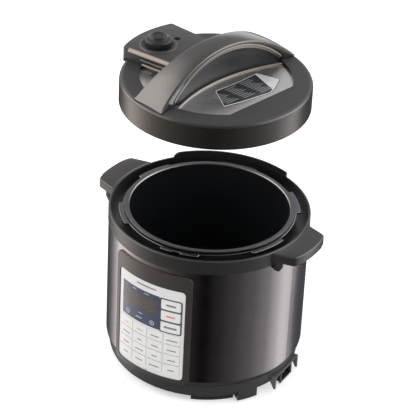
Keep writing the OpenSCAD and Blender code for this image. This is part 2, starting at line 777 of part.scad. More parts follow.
module lid_handle() {
  color([0.17, 0.18, 0.20]) at_lid() difference() {
    union() {
      intersection() {
        rotate([90, 0, 0]) translate([0, 0, -60]) linear_extrude(120) arch_side();
        translate([0, 0, lid_top]) linear_extrude(arch_h + 5) arch_outline();
      }
      // foot of the web, down in the metal plate's recess
      translate([0, 0, plate_top + 0.05]) linear_extrude(lid_top - plate_top) intersection() {
        arch_outline();
        circle(r = plate_r - 0.1);
      }
    }
    intersection() {
      rotate([90, 0, 0]) translate([0, 0, -60]) linear_extrude(120) hollow_side();
      scoops();
    }
  }
}

module lid_trim() {
  color([0.62, 0.56, 0.50]) at_lid() {
    // strips along both lower edges of the arch
    intersection() {
      rotate([90, 0, 0]) translate([0, 0, -60]) linear_extrude(120) difference() {
        translate([0, lid_top + hollow_h - hollow_r]) circle(r = hollow_r + trim_w, $fn = 200);
        translate([0, lid_top + hollow_h - hollow_r]) circle(r = hollow_r, $fn = 200);
        translate([-arch_reach - 60, lid_top - 399.8]) square([2 * arch_reach + 120, 400]);
      }
      translate([0, 0, lid_top]) linear_extrude(arch_h) difference() {
        intersection() {
          square([2 * plate_r, arch_foot_w + 10], center = true);
          difference() {
            circle(r = cover_r - 1);
            for (s = [-1, 1]) translate([0, s * (arch_mid_w / 2 + waist_r)]) circle(r = waist_r - trim_t, $fn = 200);
          }
        }
        difference() {
          square([2 * cover_r + 40, arch_foot_w + 20], center = true);
          for (s = [-1, 1]) translate([0, s * (arch_mid_w / 2 + waist_r)]) circle(r = waist_r, $fn = 200);
        }
      }
    }
    // strips on the metal plate along the foot of the web
    translate([0, 0, plate_top + 0.05]) linear_extrude(2.4) intersection() {
      circle(r = plate_r - 0.3);
      difference() {
        for (s = [-1, 1]) translate([0, s * (web_half + scoop_r)]) circle(r = scoop_r - 0.4, $fn = 200);
        for (s = [-1, 1]) translate([0, s * (web_half + scoop_r)]) circle(r = scoop_r - 4.4, $fn = 200);
      }
    }
  }
}

module valve_housing() {
  color([0.20, 0.20, 0.21]) at_lid() difference() {
    translate([0, 0, block_low]) linear_extrude(block_top - block_low) block_outline();
    // clearance under the block for the lid's top ring and plate
    translate([0, 0, block_low - 1]) cylinder(r = cover_r + 0.1, h = plate_top - block_low + 1.05);
    translate([0, 0, plate_top - 1]) difference() {
      cylinder(r = cover_r + 0.1, h = lid_top - plate_top + 1.05);
      translate([0, 0, -1]) cylinder(r = plate_r - 0.2, h = 10);
    }
    // round seat under the steam valve
    difference() {
      translate([valve_x, valve_y, block_top - 2]) cylinder(r = valve_d / 2 + 5, h = 5);
      translate([valve_x, valve_y, block_top - 3]) cylinder(r = valve_d / 2 + 2.5, h = 7);
    }
    translate([valve_x, valve_y, plate_top - 1]) cylinder(r = 9, h = block_h + 10, $fn = 48);
    translate([float_x, float_y, plate_top - 1]) cylinder(r = float_bore, h = block_h + 10, $fn = 48);
  }
}

module vent_pipe() {
  color([0.78, 0.78, 0.79]) at_lid() translate([valve_x, valve_y, 0]) difference() {
    union() {
      translate([0, 0, plate_top - 5]) cylinder(r = vent_r, h = valve_seat_z + 6 - plate_top + 5, $fn = 48);
      translate([0, 0, plate_top + 0.05]) cylinder(r = 8, h = 3, $fn = 6);
    }
    translate([0, 0, plate_top - 6]) cylinder(r = vent_bore, h = 60, $fn = 48);
  }
}

module anti_block_shield() {
  z = plate_top - lid_t;
  color([0.75, 0.75, 0.76]) at_lid() translate([valve_x, valve_y, 0]) difference() {
    translate([0, 0, z - 8.2]) cylinder(r = shield_r, h = 8);
    translate([0, 0, z - 7.2]) cylinder(r = shield_r - 1, h = 8);
    for (a = [0 : 36 : 324]) rotate([0, 0, a]) translate([shield_r - 3, -1, z - 6]) cube([6, 2, 4]);
  }
}

module lid_screws() {
  z = plate_top - lid_t;
  color([0.65, 0.65, 0.67]) at_lid() for (x = [-78, 0, 78]) translate([x, 0, z - 2.2]) difference() {
    cylinder(r = 4, h = 2.1, $fn = 32);
    for (t = [0, 90]) rotate([0, 0, t]) translate([-2.4, -0.5, -1]) cube([4.8, 1, 2]);
  }
}

module steam_valve() {
  r = valve_d / 2;
  color([0.13, 0.13, 0.13]) at_lid() translate([valve_x, valve_y, valve_seat_z]) difference() {
    rotate_extrude() polygon(concat(
      [[0, valve_h]],
      arc_points(r * 0.54, valve_h - 2, 2, 90, 10, 4),
      arc_points(r - 5.5, 5.5, 5.5, 72, 0, 5),
      [[r, 1], [r - 1, 0], [0, 0]]));
    translate([0, 0, -1]) cylinder(r = vent_r + 0.4, h = 8.4, $fn = 48);
    // raised finger ring cut round the cap
    difference() {
      translate([0, 0, valve_h - 0.7]) cylinder(r = r * 0.32, h = 2);
      translate([0, 0, valve_h - 1]) cylinder(r = r * 0.2, h = 3);
    }
  }
}

module float_valve() {
  color([0.80, 0.80, 0.81]) at_lid() translate([float_x, float_y, 0]) {
    cylinder_from(plate_top - 6, block_top - 3.5, float_r);
    cylinder_from(plate_top + 1.5, plate_top + 3, float_bore - 0.35);
  }
}

module cylinder_from(z0, z1, r) {
  translate([0, 0, z0]) cylinder(r = r, h = z1 - z0, $fn = 48);
}

module float_gasket() {
  color([0.90, 0.90, 0.88]) at_lid() translate([float_x, float_y, 0])
    cylinder_from(plate_top - lid_t - 8, plate_top - 6, 6);
}

outer_shell();
top_ring();
handle_right();
handle_left();
base_housing();
bottom_cover();
rubber_feet();
base_screws();
panel_bezel();
panel_overlay();
display_window();
display_digits();
control_board();
tact_switches();
command_key(1);  // key_start
command_key(2);  // key_stop
command_key(3);  // key_delay
for (r = [1 : key_rows], c = [1 : key_cols])
  program_key(r, c);
outer_pot();
heating_plate();
heating_element();
temp_sensor();
sensor_spring();
thermal_fuse();
pressure_switch();
power_board();
inlet_hood();
power_inlet();
inlet_pins();
cup_bracket();
condensate_cup();
inner_pot();
sealing_ring();
gasket_frame();
lid_metal();
union() { lid_cover(); chord_pad(); }
lid_handle();
lid_trim();
valve_housing();
vent_pipe();
anti_block_shield();
lid_screws();
steam_valve();
float_valve();
float_gasket();
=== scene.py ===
"""Looks of an electric pressure cooker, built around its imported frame: the housing with its key
panel, the cooking well and pot, and the twist-lock lid that hovers above them."""
import json
import math

import bmesh
import bpy
from mathutils import Matrix, Vector


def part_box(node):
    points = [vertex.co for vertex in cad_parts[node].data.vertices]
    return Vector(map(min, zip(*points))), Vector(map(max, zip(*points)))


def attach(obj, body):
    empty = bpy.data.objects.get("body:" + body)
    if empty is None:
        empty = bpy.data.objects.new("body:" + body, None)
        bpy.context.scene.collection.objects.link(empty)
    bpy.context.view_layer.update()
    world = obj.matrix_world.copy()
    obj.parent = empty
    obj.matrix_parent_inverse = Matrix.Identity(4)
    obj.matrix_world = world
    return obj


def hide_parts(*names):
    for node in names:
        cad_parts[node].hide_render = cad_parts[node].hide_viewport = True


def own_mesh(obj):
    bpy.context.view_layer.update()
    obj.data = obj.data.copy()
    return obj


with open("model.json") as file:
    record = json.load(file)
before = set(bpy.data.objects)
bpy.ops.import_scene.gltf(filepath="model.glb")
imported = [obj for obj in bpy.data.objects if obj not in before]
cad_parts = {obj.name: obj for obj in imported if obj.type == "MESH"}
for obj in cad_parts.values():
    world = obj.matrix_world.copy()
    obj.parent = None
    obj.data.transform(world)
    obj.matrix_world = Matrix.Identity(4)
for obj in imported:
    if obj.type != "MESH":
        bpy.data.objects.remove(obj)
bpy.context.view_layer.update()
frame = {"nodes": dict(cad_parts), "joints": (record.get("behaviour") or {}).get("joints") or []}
nodes = frame["nodes"]

# ---- camera ----
# A long lens from the front right and above, with the slight tilt of a hand-set camera.
view_turn = math.radians(-57)
view_rise = math.radians(32.2)
view_distance = 2.9415
aim = Vector((0, 0, 0.25))
toward = Vector((math.cos(view_turn) * math.cos(view_rise), math.sin(view_turn) * math.cos(view_rise),
                 math.sin(view_rise)))
camera = bpy.data.objects.new("camera", bpy.data.cameras.new("camera"))
bpy.context.scene.collection.objects.link(camera)
bpy.context.scene.camera = camera
camera.data.sensor_width = 36
camera.data.lens = 177.9
camera.data.shift_x = -0.0043
camera.data.shift_y = -0.0046
camera.data.clip_end = 20
camera.matrix_world = (Matrix.Translation(aim + toward * view_distance)
                       @ toward.to_track_quat("Z", "Y").to_matrix().to_4x4()
                       @ Matrix.Rotation(math.radians(2.95), 4, "Z"))

# ---- studio ----
# A white floor and a light tent: soft white light from everywhere, and for reflections a dark front
# with tall bright walls at both sides, as glossy appliances are lit.
scene = bpy.context.scene
scene.view_settings.view_transform = "Standard"
scene.cycles.use_denoising = True


def set_stops(ramp, stops):
    """Sets a colour ramp's stops, given as (place, colour)."""
    while len(ramp.elements) > 1:
        ramp.elements.remove(ramp.elements[-1])
    for i, (place, colour) in enumerate(stops):
        stop = ramp.elements[0] if i == 0 else ramp.elements.new(place)
        stop.position = place
        stop.color = (*colour, 1)


def remap(tree, value, low, high, start=0.3, end=0.7, course="LINEAR"):
    """Value that runs from low to high while the given one runs from start to end."""
    node = tree.nodes.new("ShaderNodeMapRange")
    node.interpolation_type = course
    for label, number in (("From Min", start), ("From Max", end), ("To Min", low), ("To Max", high)):
        node.inputs[label].default_value = number
    tree.links.new(value, node.inputs["Value"])
    return node.outputs["Result"]


def calculate(tree, operation, a, b):
    """Result of a Math node; a and b are numbers or sockets."""
    node = tree.nodes.new("ShaderNodeMath")
    node.operation = operation
    for socket, value in zip(node.inputs, (a, b)):
        if isinstance(value, (int, float)):
            socket.default_value = value
        else:
            tree.links.new(value, socket)
    return node.outputs[0]


def scaled(tree, colour, factor):
    """Colour multiplied by a number or by a value that varies over the surface."""
    node = tree.nodes.new("ShaderNodeVectorMath")
    node.operation = "SCALE"
    tree.links.new(colour, node.inputs[0])
    if isinstance(factor, (int, float)):
        node.inputs["Scale"].default_value = factor
    else:
        tree.links.new(factor, node.inputs["Scale"])
    return node.outputs[0]


def blend(tree, mask, a, b):
    """Colour a where the mask is 0 and b where it is 1."""
    node = tree.nodes.new("ShaderNodeMix")
    node.data_type = "RGBA"
    tree.links.new(mask, node.inputs["Factor"])
    for label, value in (("A", a), ("B", b)):
        if isinstance(value, tuple):
            node.inputs[label].default_value = (*value, 1)
        else:
            tree.links.new(value, node.inputs[label])
    return node.outputs["Result"]


def build_tent():
    """World that lights evenly, shows white behind the object, and mirrors the tent in its gloss."""
    world = bpy.data.worlds.new("light_tent")
    scene.world = world
    world.use_nodes = True
    world.cycles.sampling_method = "NONE"
    tree = world.node_tree
    turn = tree.nodes.new("ShaderNodeVectorRotate")
    turn.rotation_type = "Z_AXIS"
    turn.inputs["Angle"].default_value = -view_turn
    tree.links.new(tree.nodes.new("ShaderNodeTexCoord").outputs["Generated"], turn.inputs["Vector"])
    split = tree.nodes.new("ShaderNodeSeparateXYZ")
    tree.links.new(turn.outputs[0], split.inputs[0])
    forward, up = split.outputs["X"], split.outputs["Z"]
    angle = calculate(tree, "ARCTAN2", split.outputs["Y"], forward)
    place = remap(tree, angle, 0, 1, -math.pi, math.pi)

    def wall(left, right):
        """Brightness round the tent as (degrees from the front, level), warm at left and cool at right."""
        ramp = tree.nodes.new("ShaderNodeValToRGB")
        ramp.color_ramp.interpolation = "EASE"
        stops = [(0.5 - a / 360, level, (1.0, 0.95, 0.92)) for a, level in reversed(left)]
        stops += [(0.5 + a / 360, level, (0.97, 0.97, 1.0)) for a, level in right]
        set_stops(ramp.color_ramp, [(where, tuple(level * c for c in tint)) for where, level, tint in stops])
        tree.links.new(place, ramp.inputs["Fac"])
        return ramp.outputs[0]

    def rise(value, start, end):
        return remap(tree, value, 0, 1, start, end, "SMOOTHSTEP")

    low = wall([(0.0, 0.002), (16, 0.016), (34, 0.038), (54, 0.075), (76, 0.16), (90, 0.33), (104, 0.56),
                (119, 0.62), (132, 0.25), (144, 0.08), (157, 0.035), (172, 0.02)],
               [(16, 0.016), (34, 0.040), (54, 0.080), (76, 0.165), (90, 0.34), (102, 0.54), (111, 0.52),
                (120, 0.20), (132, 0.06), (150, 0.04)])
    upper = [(0.0, 0.06), (40, 0.10), (70, 0.48), (95, 1.0), (120, 1.0), (140, 0.50), (160, 0.22),
             (178, 0.20)]
    walls = blend(tree, rise(up, -0.12, 0.25), low, wall(upper, upper[1:]))
    # the far wall glows near the horizon; the table below and the roof above are darker
    horizon = rise(calculate(tree, "ABSOLUTE", up, 0), 0.30, 0.10)
    behind = rise(forward, -0.75, -0.95)
    lit = blend(tree, calculate(tree, "MULTIPLY", horizon, behind), walls, (0.48, 0.48, 0.49))
    lit = blend(tree, rise(up, -0.60, -0.80), lit, (0.035, 0.032, 0.030))
    lit = blend(tree, rise(up, 0.72, 0.98), lit, (0.12, 0.12, 0.12))
    mirror_gain, soft_level, white = 2.6, 0.80, 1.05
    ray = tree.nodes.new("ShaderNodeLightPath")
    seen = blend(tree, ray.outputs["Is Glossy Ray"], (soft_level,) * 3, scaled(tree, lit, mirror_gain))
    seen = blend(tree, ray.outputs["Is Camera Ray"], seen, (white,) * 3)
    tree.links.new(seen, tree.nodes["Background"].inputs["Color"])


def soft_box(name, place, target, size, power, colour):
    """Square light that shapes the diffuse shading and isn't mirrored itself."""
    light = bpy.data.lights.new(name, "AREA")
    light.size = size
    light.energy = power
    light.color = colour
    lamp = bpy.data.objects.new(name, light)
    scene.collection.objects.link(lamp)
    lamp.location = place
    lamp.rotation_euler = (Vector(place) - Vector(target)).to_track_quat("Z", "Y").to_euler()
    lamp.visible_glossy = False


build_tent()
soft_box("key_left", (-1.6, -1.5, 2.0), (0, 0, 0.2), 1.4, 26, (1, 0.98, 0.96))
soft_box("fill_right", (2.2, 0.2, 1.6), (0, 0, 0.2), 1.2, 14, (0.97, 0.98, 1))

bpy.ops.mesh.primitive_plane_add(size=14, location=(0, 0, -0.0005))
floor = bpy.context.object
floor.name = "floor"
floor.visible_glossy = False
floor_paint = bpy.data.materials.new("floor_paint")
floor_paint.use_nodes = True
floor_shader = floor_paint.node_tree.nodes["Principled BSDF"]
for label, value in (("Base Color", (0.93, 0.93, 0.93, 1)), ("Roughness", 0.9),
                     ("Emission Color", (1, 1, 1, 1)), ("Emission Strength", 0.45)):
    floor_shader.inputs[label].default_value = value
floor.data.materials.append(floor_paint)

# ---- outer shell ----
# One drum of thin sheet steel, rolled in at its lower edge and coated with a dark bronze lacquer
# that turns violet where it is seen at a low angle. The top ring and the base hold its two edges.


def effect(name, inputs, outputs):
    """Empty shader node group with the given sockets."""
    group = bpy.data.node_groups.new(name, "ShaderNodeTree")
    for label, (kind, value) in inputs.items():
        socket = group.interface.new_socket(name=label, in_out="INPUT", socket_type=kind)
        socket.default_value = value
    for label, kind in outputs.items():
        group.interface.new_socket(name=label, in_out="OUTPUT", socket_type=kind)
    return group, group.nodes.new("NodeGroupInput"), group.nodes.new("NodeGroupOutput")


NUMBER, COLOUR = "NodeSocketFloat", "NodeSocketColor"


def noise(tree, scale, detail=2.0, source=None):
    """Noise over the object's own coordinates, in metres."""
    node = tree.nodes.new("ShaderNodeTexNoise")
    node.inputs["Scale"].default_value = scale
    node.inputs["Detail"].default_value = detail
    if source is None:
        source = tree.nodes.new("ShaderNodeTexCoord").outputs["Object"]
    tree.links.new(source, node.inputs["Vector"])
    return node


def build_smudges():
    """Faint wiping marks and cloudiness of a surface that hands touch."""
    group, given, made = effect(
        "hand_smudges", {"Color": (COLOUR, (0.5, 0.5, 0.5, 1)), "Roughness": (NUMBER, 0.2),
                         "Amount": (NUMBER, 0.3)}, {"Color": COLOUR, "Roughness": NUMBER})
    clouds = noise(group, 14, 4)
    marks = noise(group, 55, 3)
    mask = calculate(group, "MULTIPLY", clouds.outputs["Fac"], marks.outputs["Fac"])
    lift = calculate(group, "MULTIPLY", remap(group, mask, -0.5, 0.5, 0.1, 0.4), given.outputs["Amount"])
    factor = calculate(group, "ADD", lift, 1)
    gloss = calculate(group, "MULTIPLY", given.outputs["Roughness"], factor)
    group.links.new(gloss, made.inputs["Roughness"])
    shade = calculate(group, "ADD", calculate(group, "MULTIPLY", lift, 0.25), 1)
    group.links.new(scaled(group, given.outputs["Color"], shade), made.inputs["Color"])
    return group


hand_smudges = build_smudges()


def finish(name, roughness=0.4, metallic=0.0, coat=0.0, coat_roughness=0.05, ior=1.5):
    """Material with one Principled shader and its plain values set."""
    material = bpy.data.materials.new(name)
    material.use_nodes = True
    shader = material.node_tree.nodes["Principled BSDF"]
    for label, value in (("Roughness", roughness), ("Metallic", metallic), ("Coat Weight", coat),
                         ("Coat Roughness", coat_roughness), ("IOR", ior)):
        shader.inputs[label].default_value = value
    return material, material.node_tree, shader


def use(tree, group, **values):
    """Places an effect in a material with its own values."""
    node = tree.nodes.new("ShaderNodeGroup")
    node.node_tree = group
    for label, value in values.items():
        node.inputs[label.replace("_", " ")].default_value = value
    return node


def lay_on(tree, shader, group, **values):
    """Places an effect that sets the shader's colour and roughness."""
    node = use(tree, group, **values)
    tree.links.new(node.outputs["Color"], shader.inputs["Base Color"])
    tree.links.new(node.outputs["Roughness"], shader.inputs["Roughness"])
    return node


def raise_by(tree, shader, height, distance):
    """Feeds a height to the shader's normal; distance is its depth in metres."""
    bump = tree.nodes.new("ShaderNodeBump")
    bump.inputs["Distance"].default_value = distance
    tree.links.new(height, bump.inputs["Height"])
    tree.links.new(bump.outputs[0], shader.inputs["Normal"])


def dress(piece, material):
    """Gives a piece or a node of the frame its material."""
    if piece.data.materials:
        piece.material_slots[0].material = material
    else:
        piece.data.materials.append(material)


def shell_lacquer():
    """Bronze lacquer over metal, violet at low angles, with fine flake and wiping marks."""
    material, tree, shader = finish("shell_lacquer", metallic=1.0, coat=0.3, coat_roughness=0.06)
    facing = tree.nodes.new("ShaderNodeLayerWeight")
    facing.inputs["Blend"].default_value = 0.35
    tone = tree.nodes.new("ShaderNodeValToRGB")
    set_stops(tone.color_ramp, [(0.0, (0.36, 0.33, 0.335)), (0.5, (0.38, 0.345, 0.35)),
                                (0.62, (0.25, 0.23, 0.30)), (0.8, (0.085, 0.070, 0.22))])
    tree.links.new(facing.outputs["Facing"], tone.inputs["Fac"])
    worn = lay_on(tree, shader, hand_smudges, Roughness=0.17, Amount=0.35)
    tree.links.new(tone.outputs["Color"], worn.inputs["Color"])
    flake = noise(tree, 900, 1)
    raise_by(tree, shader, flake.outputs["Fac"], 0.000004)
    return material


dress(nodes["outer_shell"], shell_lacquer())

# ---- base ----
# Black ABS bowl that the shell stands on, closed from below by a ventilated cover on four screws,
# with four rubber pads pressed into it. All mouldings have a fine spark-eroded grain.


def build_grain():
    """Spark-eroded grain of a moulding, with slight clouding of its colour and gloss."""
    group, given, made = effect(
        "moulded_grain",
        {"Color": (COLOUR, (0.05, 0.05, 0.05, 1)), "Roughness": (NUMBER, 0.45), "Fineness": (NUMBER, 1400.0)},
        {"Color": COLOUR, "Roughness": NUMBER, "Height": NUMBER})
    fine = noise(group, 1400, 2)
    group.links.new(given.outputs["Fineness"], fine.inputs["Scale"])
    clouds = noise(group, 9, 3)
    pits = group.nodes.new("ShaderNodeTexVoronoi")
    pits.inputs["Scale"].default_value = 700
    group.links.new(group.nodes.new("ShaderNodeTexCoord").outputs["Object"], pits.inputs["Vector"])
    height = calculate(group, "ADD", fine.outputs["Fac"], pits.outputs["Distance"])
    group.links.new(height, made.inputs["Height"])
    tone = calculate(group, "MULTIPLY", remap(group, clouds.outputs["Fac"], 0.93, 1.07),
                     remap(group, fine.outputs["Fac"], 0.95, 1.05))
    group.links.new(scaled(group, given.outputs["Color"], tone), made.inputs["Color"])
    gloss = calculate(group, "MULTIPLY", given.outputs["Roughness"],
                      remap(group, clouds.outputs["Fac"], 0.92, 1.1))
    group.links.new(gloss, made.inputs["Roughness"])
    return group


moulded_grain = build_grain()


def moulding(name, colour, roughness, metallic=0.0, fineness=1400.0, depth=0.00002, coat=0.0, ior=1.5):
    """Moulded plastic or rubber with its grain."""
    material, tree, shader = finish(name, metallic=metallic, coat=coat, coat_roughness=0.25, ior=ior)
    grain = lay_on(tree, shader, moulded_grain, Color=(*colour, 1), Roughness=roughness, Fineness=fineness)
    raise_by(tree, shader, grain.outputs["Height"], depth)
    return material


base_plastic = moulding("base_plastic", (0.030, 0.030, 0.032), 0.42)
for name in ("base_housing", "bottom_cover", "pressure_switch", "cup_bracket"):
    dress(nodes[name], base_plastic)
dress(nodes["inlet_hood"], moulding("hood_plastic", (0.10, 0.098, 0.096), 0.40))
dress(nodes["rubber_feet"], moulding("rubber_black", (0.02, 0.02, 0.02), 0.75, fineness=800))

# ---- screws and other plain metal ----
# Zinc-plated cross-head screws, and turned or pressed steel parts: bright, with fine tool marks
# that run round each part.


def build_brushing():
    """Fine tool marks round the vertical axis, as on spun and brushed sheet."""
    group, given, made = effect(
        "round_brushing",
        {"Color": (COLOUR, (0.6, 0.6, 0.6, 1)), "Roughness": (NUMBER, 0.25), "Lines": (NUMBER, 900.0)},
        {"Color": COLOUR, "Roughness": NUMBER, "Height": NUMBER})
    split = group.nodes.new("ShaderNodeSeparateXYZ")
    group.links.new(group.nodes.new("ShaderNodeTexCoord").outputs["Object"], split.inputs[0])
    flat = group.nodes.new("ShaderNodeCombineXYZ")
    group.links.new(split.outputs["X"], flat.inputs["X"])
    group.links.new(split.outputs["Y"], flat.inputs["Y"])
    radius = group.nodes.new("ShaderNodeVectorMath")
    radius.operation = "LENGTH"
    group.links.new(flat.outputs[0], radius.inputs[0])
    turn = calculate(group, "ARCTAN2", split.outputs["Y"], split.outputs["X"])
    lines = group.nodes.new("ShaderNodeCombineXYZ")
    for axis, value, stretch in (("X", radius.outputs["Value"], given.outputs["Lines"]), ("Y", turn, 1.5),
                                 ("Z", split.outputs["Z"], given.outputs["Lines"])):
        group.links.new(calculate(group, "MULTIPLY", value, stretch), lines.inputs[axis])
    marks = noise(group, 1.0, 3, lines.outputs[0])
    group.links.new(marks.outputs["Fac"], made.inputs["Height"])
    group.links.new(scaled(group, given.outputs["Color"], remap(group, marks.outputs["Fac"], 0.88, 1.1)),
                    made.inputs["Color"])
    group.links.new(calculate(group, "MULTIPLY", given.outputs["Roughness"],
                              remap(group, marks.outputs["Fac"], 0.8, 1.25)), made.inputs["Roughness"])
    return group


round_brushing = build_brushing()


def sheet_metal(name, colour, roughness, lines=900.0, depth=0.000006, metallic=1.0):
    """Bare metal with its tool marks."""
    material, tree, shader = finish(name, metallic=metallic)
    brushed = lay_on(tree, shader, round_brushing, Color=(*colour, 1), Roughness=roughness, Lines=lines)
    raise_by(tree, shader, brushed.outputs["Height"], depth)
    return material


screw_metal = sheet_metal("screw_metal", (0.60, 0.60, 0.62), 0.28, 2500)
stainless = sheet_metal("stainless", (0.62, 0.62, 0.63), 0.22, 1500)
dress(nodes["base_screws"], screw_metal)
dress(nodes["lid_screws"], screw_metal)
for name in ("gasket_frame", "vent_pipe", "anti_block_shield", "float_valve"):
    dress(nodes[name], stainless)

# ---- top ring and side handles ----
# Dark bronze-black plastic ring that snaps over the shell and carries the well, with the two grips
# screwed to it. A guard wall stands on its far side, and a small raised triangle on its front marks
# where the lid closes.

ring_plastic = moulding("ring_plastic", (0.118, 0.115, 0.113), 0.31, metallic=0.88, fineness=500,
                        depth=0.000006)
dress(nodes["top_ring"], ring_plastic)


def new_piece(name, mesh, material, body, smooth=None):
    """Object from a bmesh, riding on a body of the frame. Edges sharper than smooth degrees stay sharp."""
    bmesh.ops.recalc_face_normals(mesh, faces=mesh.faces[:])
    data = bpy.data.meshes.new(name)
    mesh.to_mesh(data)
    mesh.free()
    piece = bpy.data.objects.new(name, data)
    scene.collection.objects.link(piece)
    if smooth is not None:
        data.shade_smooth()
        data.set_sharp_from_angle(angle=math.radians(smooth))
    dress(piece, material)
    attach(piece, body)
    return piece


def rounded(corners, points=7):
    """Closed outline through (x, y, radius) corners, each rounded by its radius."""
    loop = []
    for i, corner in enumerate(corners):
        here, radius = Vector(corner[:2]), (corner[2] if len(corner) > 2 else 0)
        before = (Vector(corners[i - 1][:2]) - here)
        after = (Vector(corners[(i + 1) % len(corners)][:2]) - here)
        if radius <= 0 or before.length < 1e-7 or after.length < 1e-7:
            loop.append(here)
            continue
        half = before.angle(after) / 2
        reach = min(radius / math.tan(half), 0.49 * before.length, 0.49 * after.length)
        start, end = here + before.normalized() * reach, here + after.normalized() * reach
        for k in range(points):
            t = k / (points - 1)
            loop.append((1 - t) ** 2 * start + 2 * t * (1 - t) * here + t * t * end)
    return loop


def inset(loop, depth):
    """The loop moved inwards by depth, for an anticlockwise loop."""
    moved = []
    for i, here in enumerate(loop):
        a, b = here - loop[i - 1], loop[(i + 1) % len(loop)] - here
        a = a.normalized() if a.length > 1e-9 else b.normalized()
        b = b.normalized() if b.length > 1e-9 else a
        normal = Vector((-(a.y + b.y), a.x + b.x))
        scale = max(0.4, normal.length / 2)
        moved.append(here + normal.normalized() * depth / scale)
    return moved


def slab(mesh, loop, z0, z1, top_round, low_round, place=Matrix.Identity(4), holes=(), steps=4):
    """Solid over an anticlockwise outline, its edges rounded; a hole is (x, y, radius, depth) from above."""
    quarter = [math.pi / 2 * k / steps for k in range(steps + 1)]
    profile = [(low_round * (1 - math.sin(t)), z0 + low_round * (1 - math.cos(t))) for t in quarter]
    profile += [(top_round * (1 - math.cos(t)), z1 - top_round * (1 - math.sin(t))) for t in quarter]
    rings = [[mesh.verts.new(place @ Vector((p.x, p.y, z))) for p in inset(loop, depth)]
             for depth, z in profile]
    for low, high in zip(rings, rings[1:]):
        for i in range(len(loop)):
            j = (i + 1) % len(loop)
            mesh.faces.new((low[i], low[j], high[j], high[i]))
    mesh.faces.new(list(reversed(rings[0])))
    if not holes:
        mesh.faces.new(rings[-1])
        return
    edges = [mesh.edges.get((a, b)) for a, b in zip(rings[-1], rings[-1][1:] + rings[-1][:1])]
    for cx, cy, radius, depth in holes:
        circle = [Vector((cx + radius * math.cos(t), cy + radius * math.sin(t), 0))
                  for t in (2 * math.pi * k / 32 for k in range(32))]
        lip = [mesh.verts.new(place @ (p + Vector((0, 0, z1)))) for p in circle]
        base = [mesh.verts.new(place @ (p + Vector((0, 0, z1 - depth)))) for p in circle]
        for k in range(32):
            edges.append(mesh.edges.new((lip[k], lip[(k + 1) % 32])))
            mesh.faces.new((lip[k], lip[(k + 1) % 32], base[(k + 1) % 32], base[k]))
        mesh.faces.new(base)
    bmesh.ops.triangle_fill(mesh, use_beauty=True, use_dissolve=False, edges=edges,
                            normal=place.to_3x3() @ Vector((0, 0, 1)))


def arc(radius, start, end, points):
    """Points of a round stretch about the axis; angles in degrees."""
    turns = [math.radians(start + (end - start) * k / (points - 1)) for k in range(points)]
    return [Vector((radius * math.cos(t), radius * math.sin(t))) for t in turns]


def turned(mesh, profile, centre, place, points=64):
    """Ring turned round a vertical axis at centre; the profile is a closed list of (radius, z)."""
    turns = [2 * math.pi * k / points for k in range(points)]
    verts = [[mesh.verts.new(place @ Vector((centre.x + r * math.cos(t), centre.y + r * math.sin(t), z)))
              for r, z in profile] for t in turns]
    for k in range(points):
        here, there = verts[k], verts[(k + 1) % points]
        for i in range(len(profile)):
            j = (i + 1) % len(profile)
            mesh.faces.new((here[i], there[i], there[j], here[j]))


def swept(mesh, sections, place):
    """Closed skin over closed sections that all have the same number of points."""
    rings = [[mesh.verts.new(place @ Vector(p)) for p in section] for section in sections]
    count = len(rings[0])
    for low, high in zip(rings, rings[1:]):
        for i in range(count):
            j = (i + 1) % count
            mesh.faces.new((low[i], low[j], high[j], high[i]))
    mesh.faces.new(list(reversed(rings[0])))
    mesh.faces.new(rings[-1])


ring_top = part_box("top_ring")[1].z
ring_edge = 0.1451
guard_h = 0.0075
grip_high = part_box("handle_right")[1]
root, tip, reach = grip_high.y, grip_high.y * 0.82, grip_high.x
grip_top, grip_thick = ring_top - guard_h, 0.014
shoulder = reach * 0.965
nose = math.degrees(math.asin(tip / reach)) - 5
root_x, root_turn = math.sqrt(ring_edge ** 2 - root ** 2) + 0.0004, math.degrees(math.asin(root / ring_edge))
grip_edge = rounded([(root_x, -root), (shoulder, -tip, 0.010)] + arc(reach, -nose, nose, 15)
                    + [(shoulder, tip, 0.010), (root_x, root)]
                    + arc(ring_edge, root_turn, -root_turn, 21)[1:-1])
# hooked web under each end of a grip, drawn as (distance from the axis, height)
hook = rounded([(0.1375, 0.2245), (0.1405, 0.2215, 0.003), (0.1475, 0.2210, 0.004), (0.1530, 0.2300, 0.006),
                (0.1530, 0.2375), (0.1375, 0.2375)], 6)
for name, side in (("handle_right", 0), ("handle_left", math.pi)):
    place = Matrix.Rotation(side, 4, "Z")
    mesh = bmesh.new()
    slab(mesh, grip_edge, grip_top - grip_thick, grip_top, 0.0022, 0.0014, place)
    for end in (-1, 1):
        stand = (place @ Matrix.Translation((0, end * (root - 0.0052) + 0.0017, 0))
                 @ Matrix.Rotation(math.pi / 2, 4, "X"))
        slab(mesh, hook, 0, 0.0034, 0.0008, 0.0008, stand, steps=2)
    piece = new_piece(name.replace("handle", "grip"), mesh, ring_plastic, "housing", 40)
    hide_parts(name)

# the guard wall runs down to the ring at its left end
inner_side, outer_side, ramp_low = ring_edge - 0.0032, ring_edge - 0.0004, ring_top - 0.0085
ramp = []
for k in range(13):
    turn = math.radians(141.9 + 4.6 * k / 12)
    crest = ring_top - guard_h * (1 - math.sqrt(max(0.0, 1 - (k / 12) ** 2))) - 0.00005
    section = ((inner_side, ramp_low), (inner_side, crest), (outer_side - 0.0009, crest),
               (outer_side, crest - 0.0008), (outer_side, ramp_low))
    ramp.append([(r * math.cos(turn), r * math.sin(turn), z) for r, z in section])
mesh = bmesh.new()
swept(mesh, ramp, Matrix.Identity(4))
new_piece("guard_ramp", mesh, ring_plastic, "housing", 40)

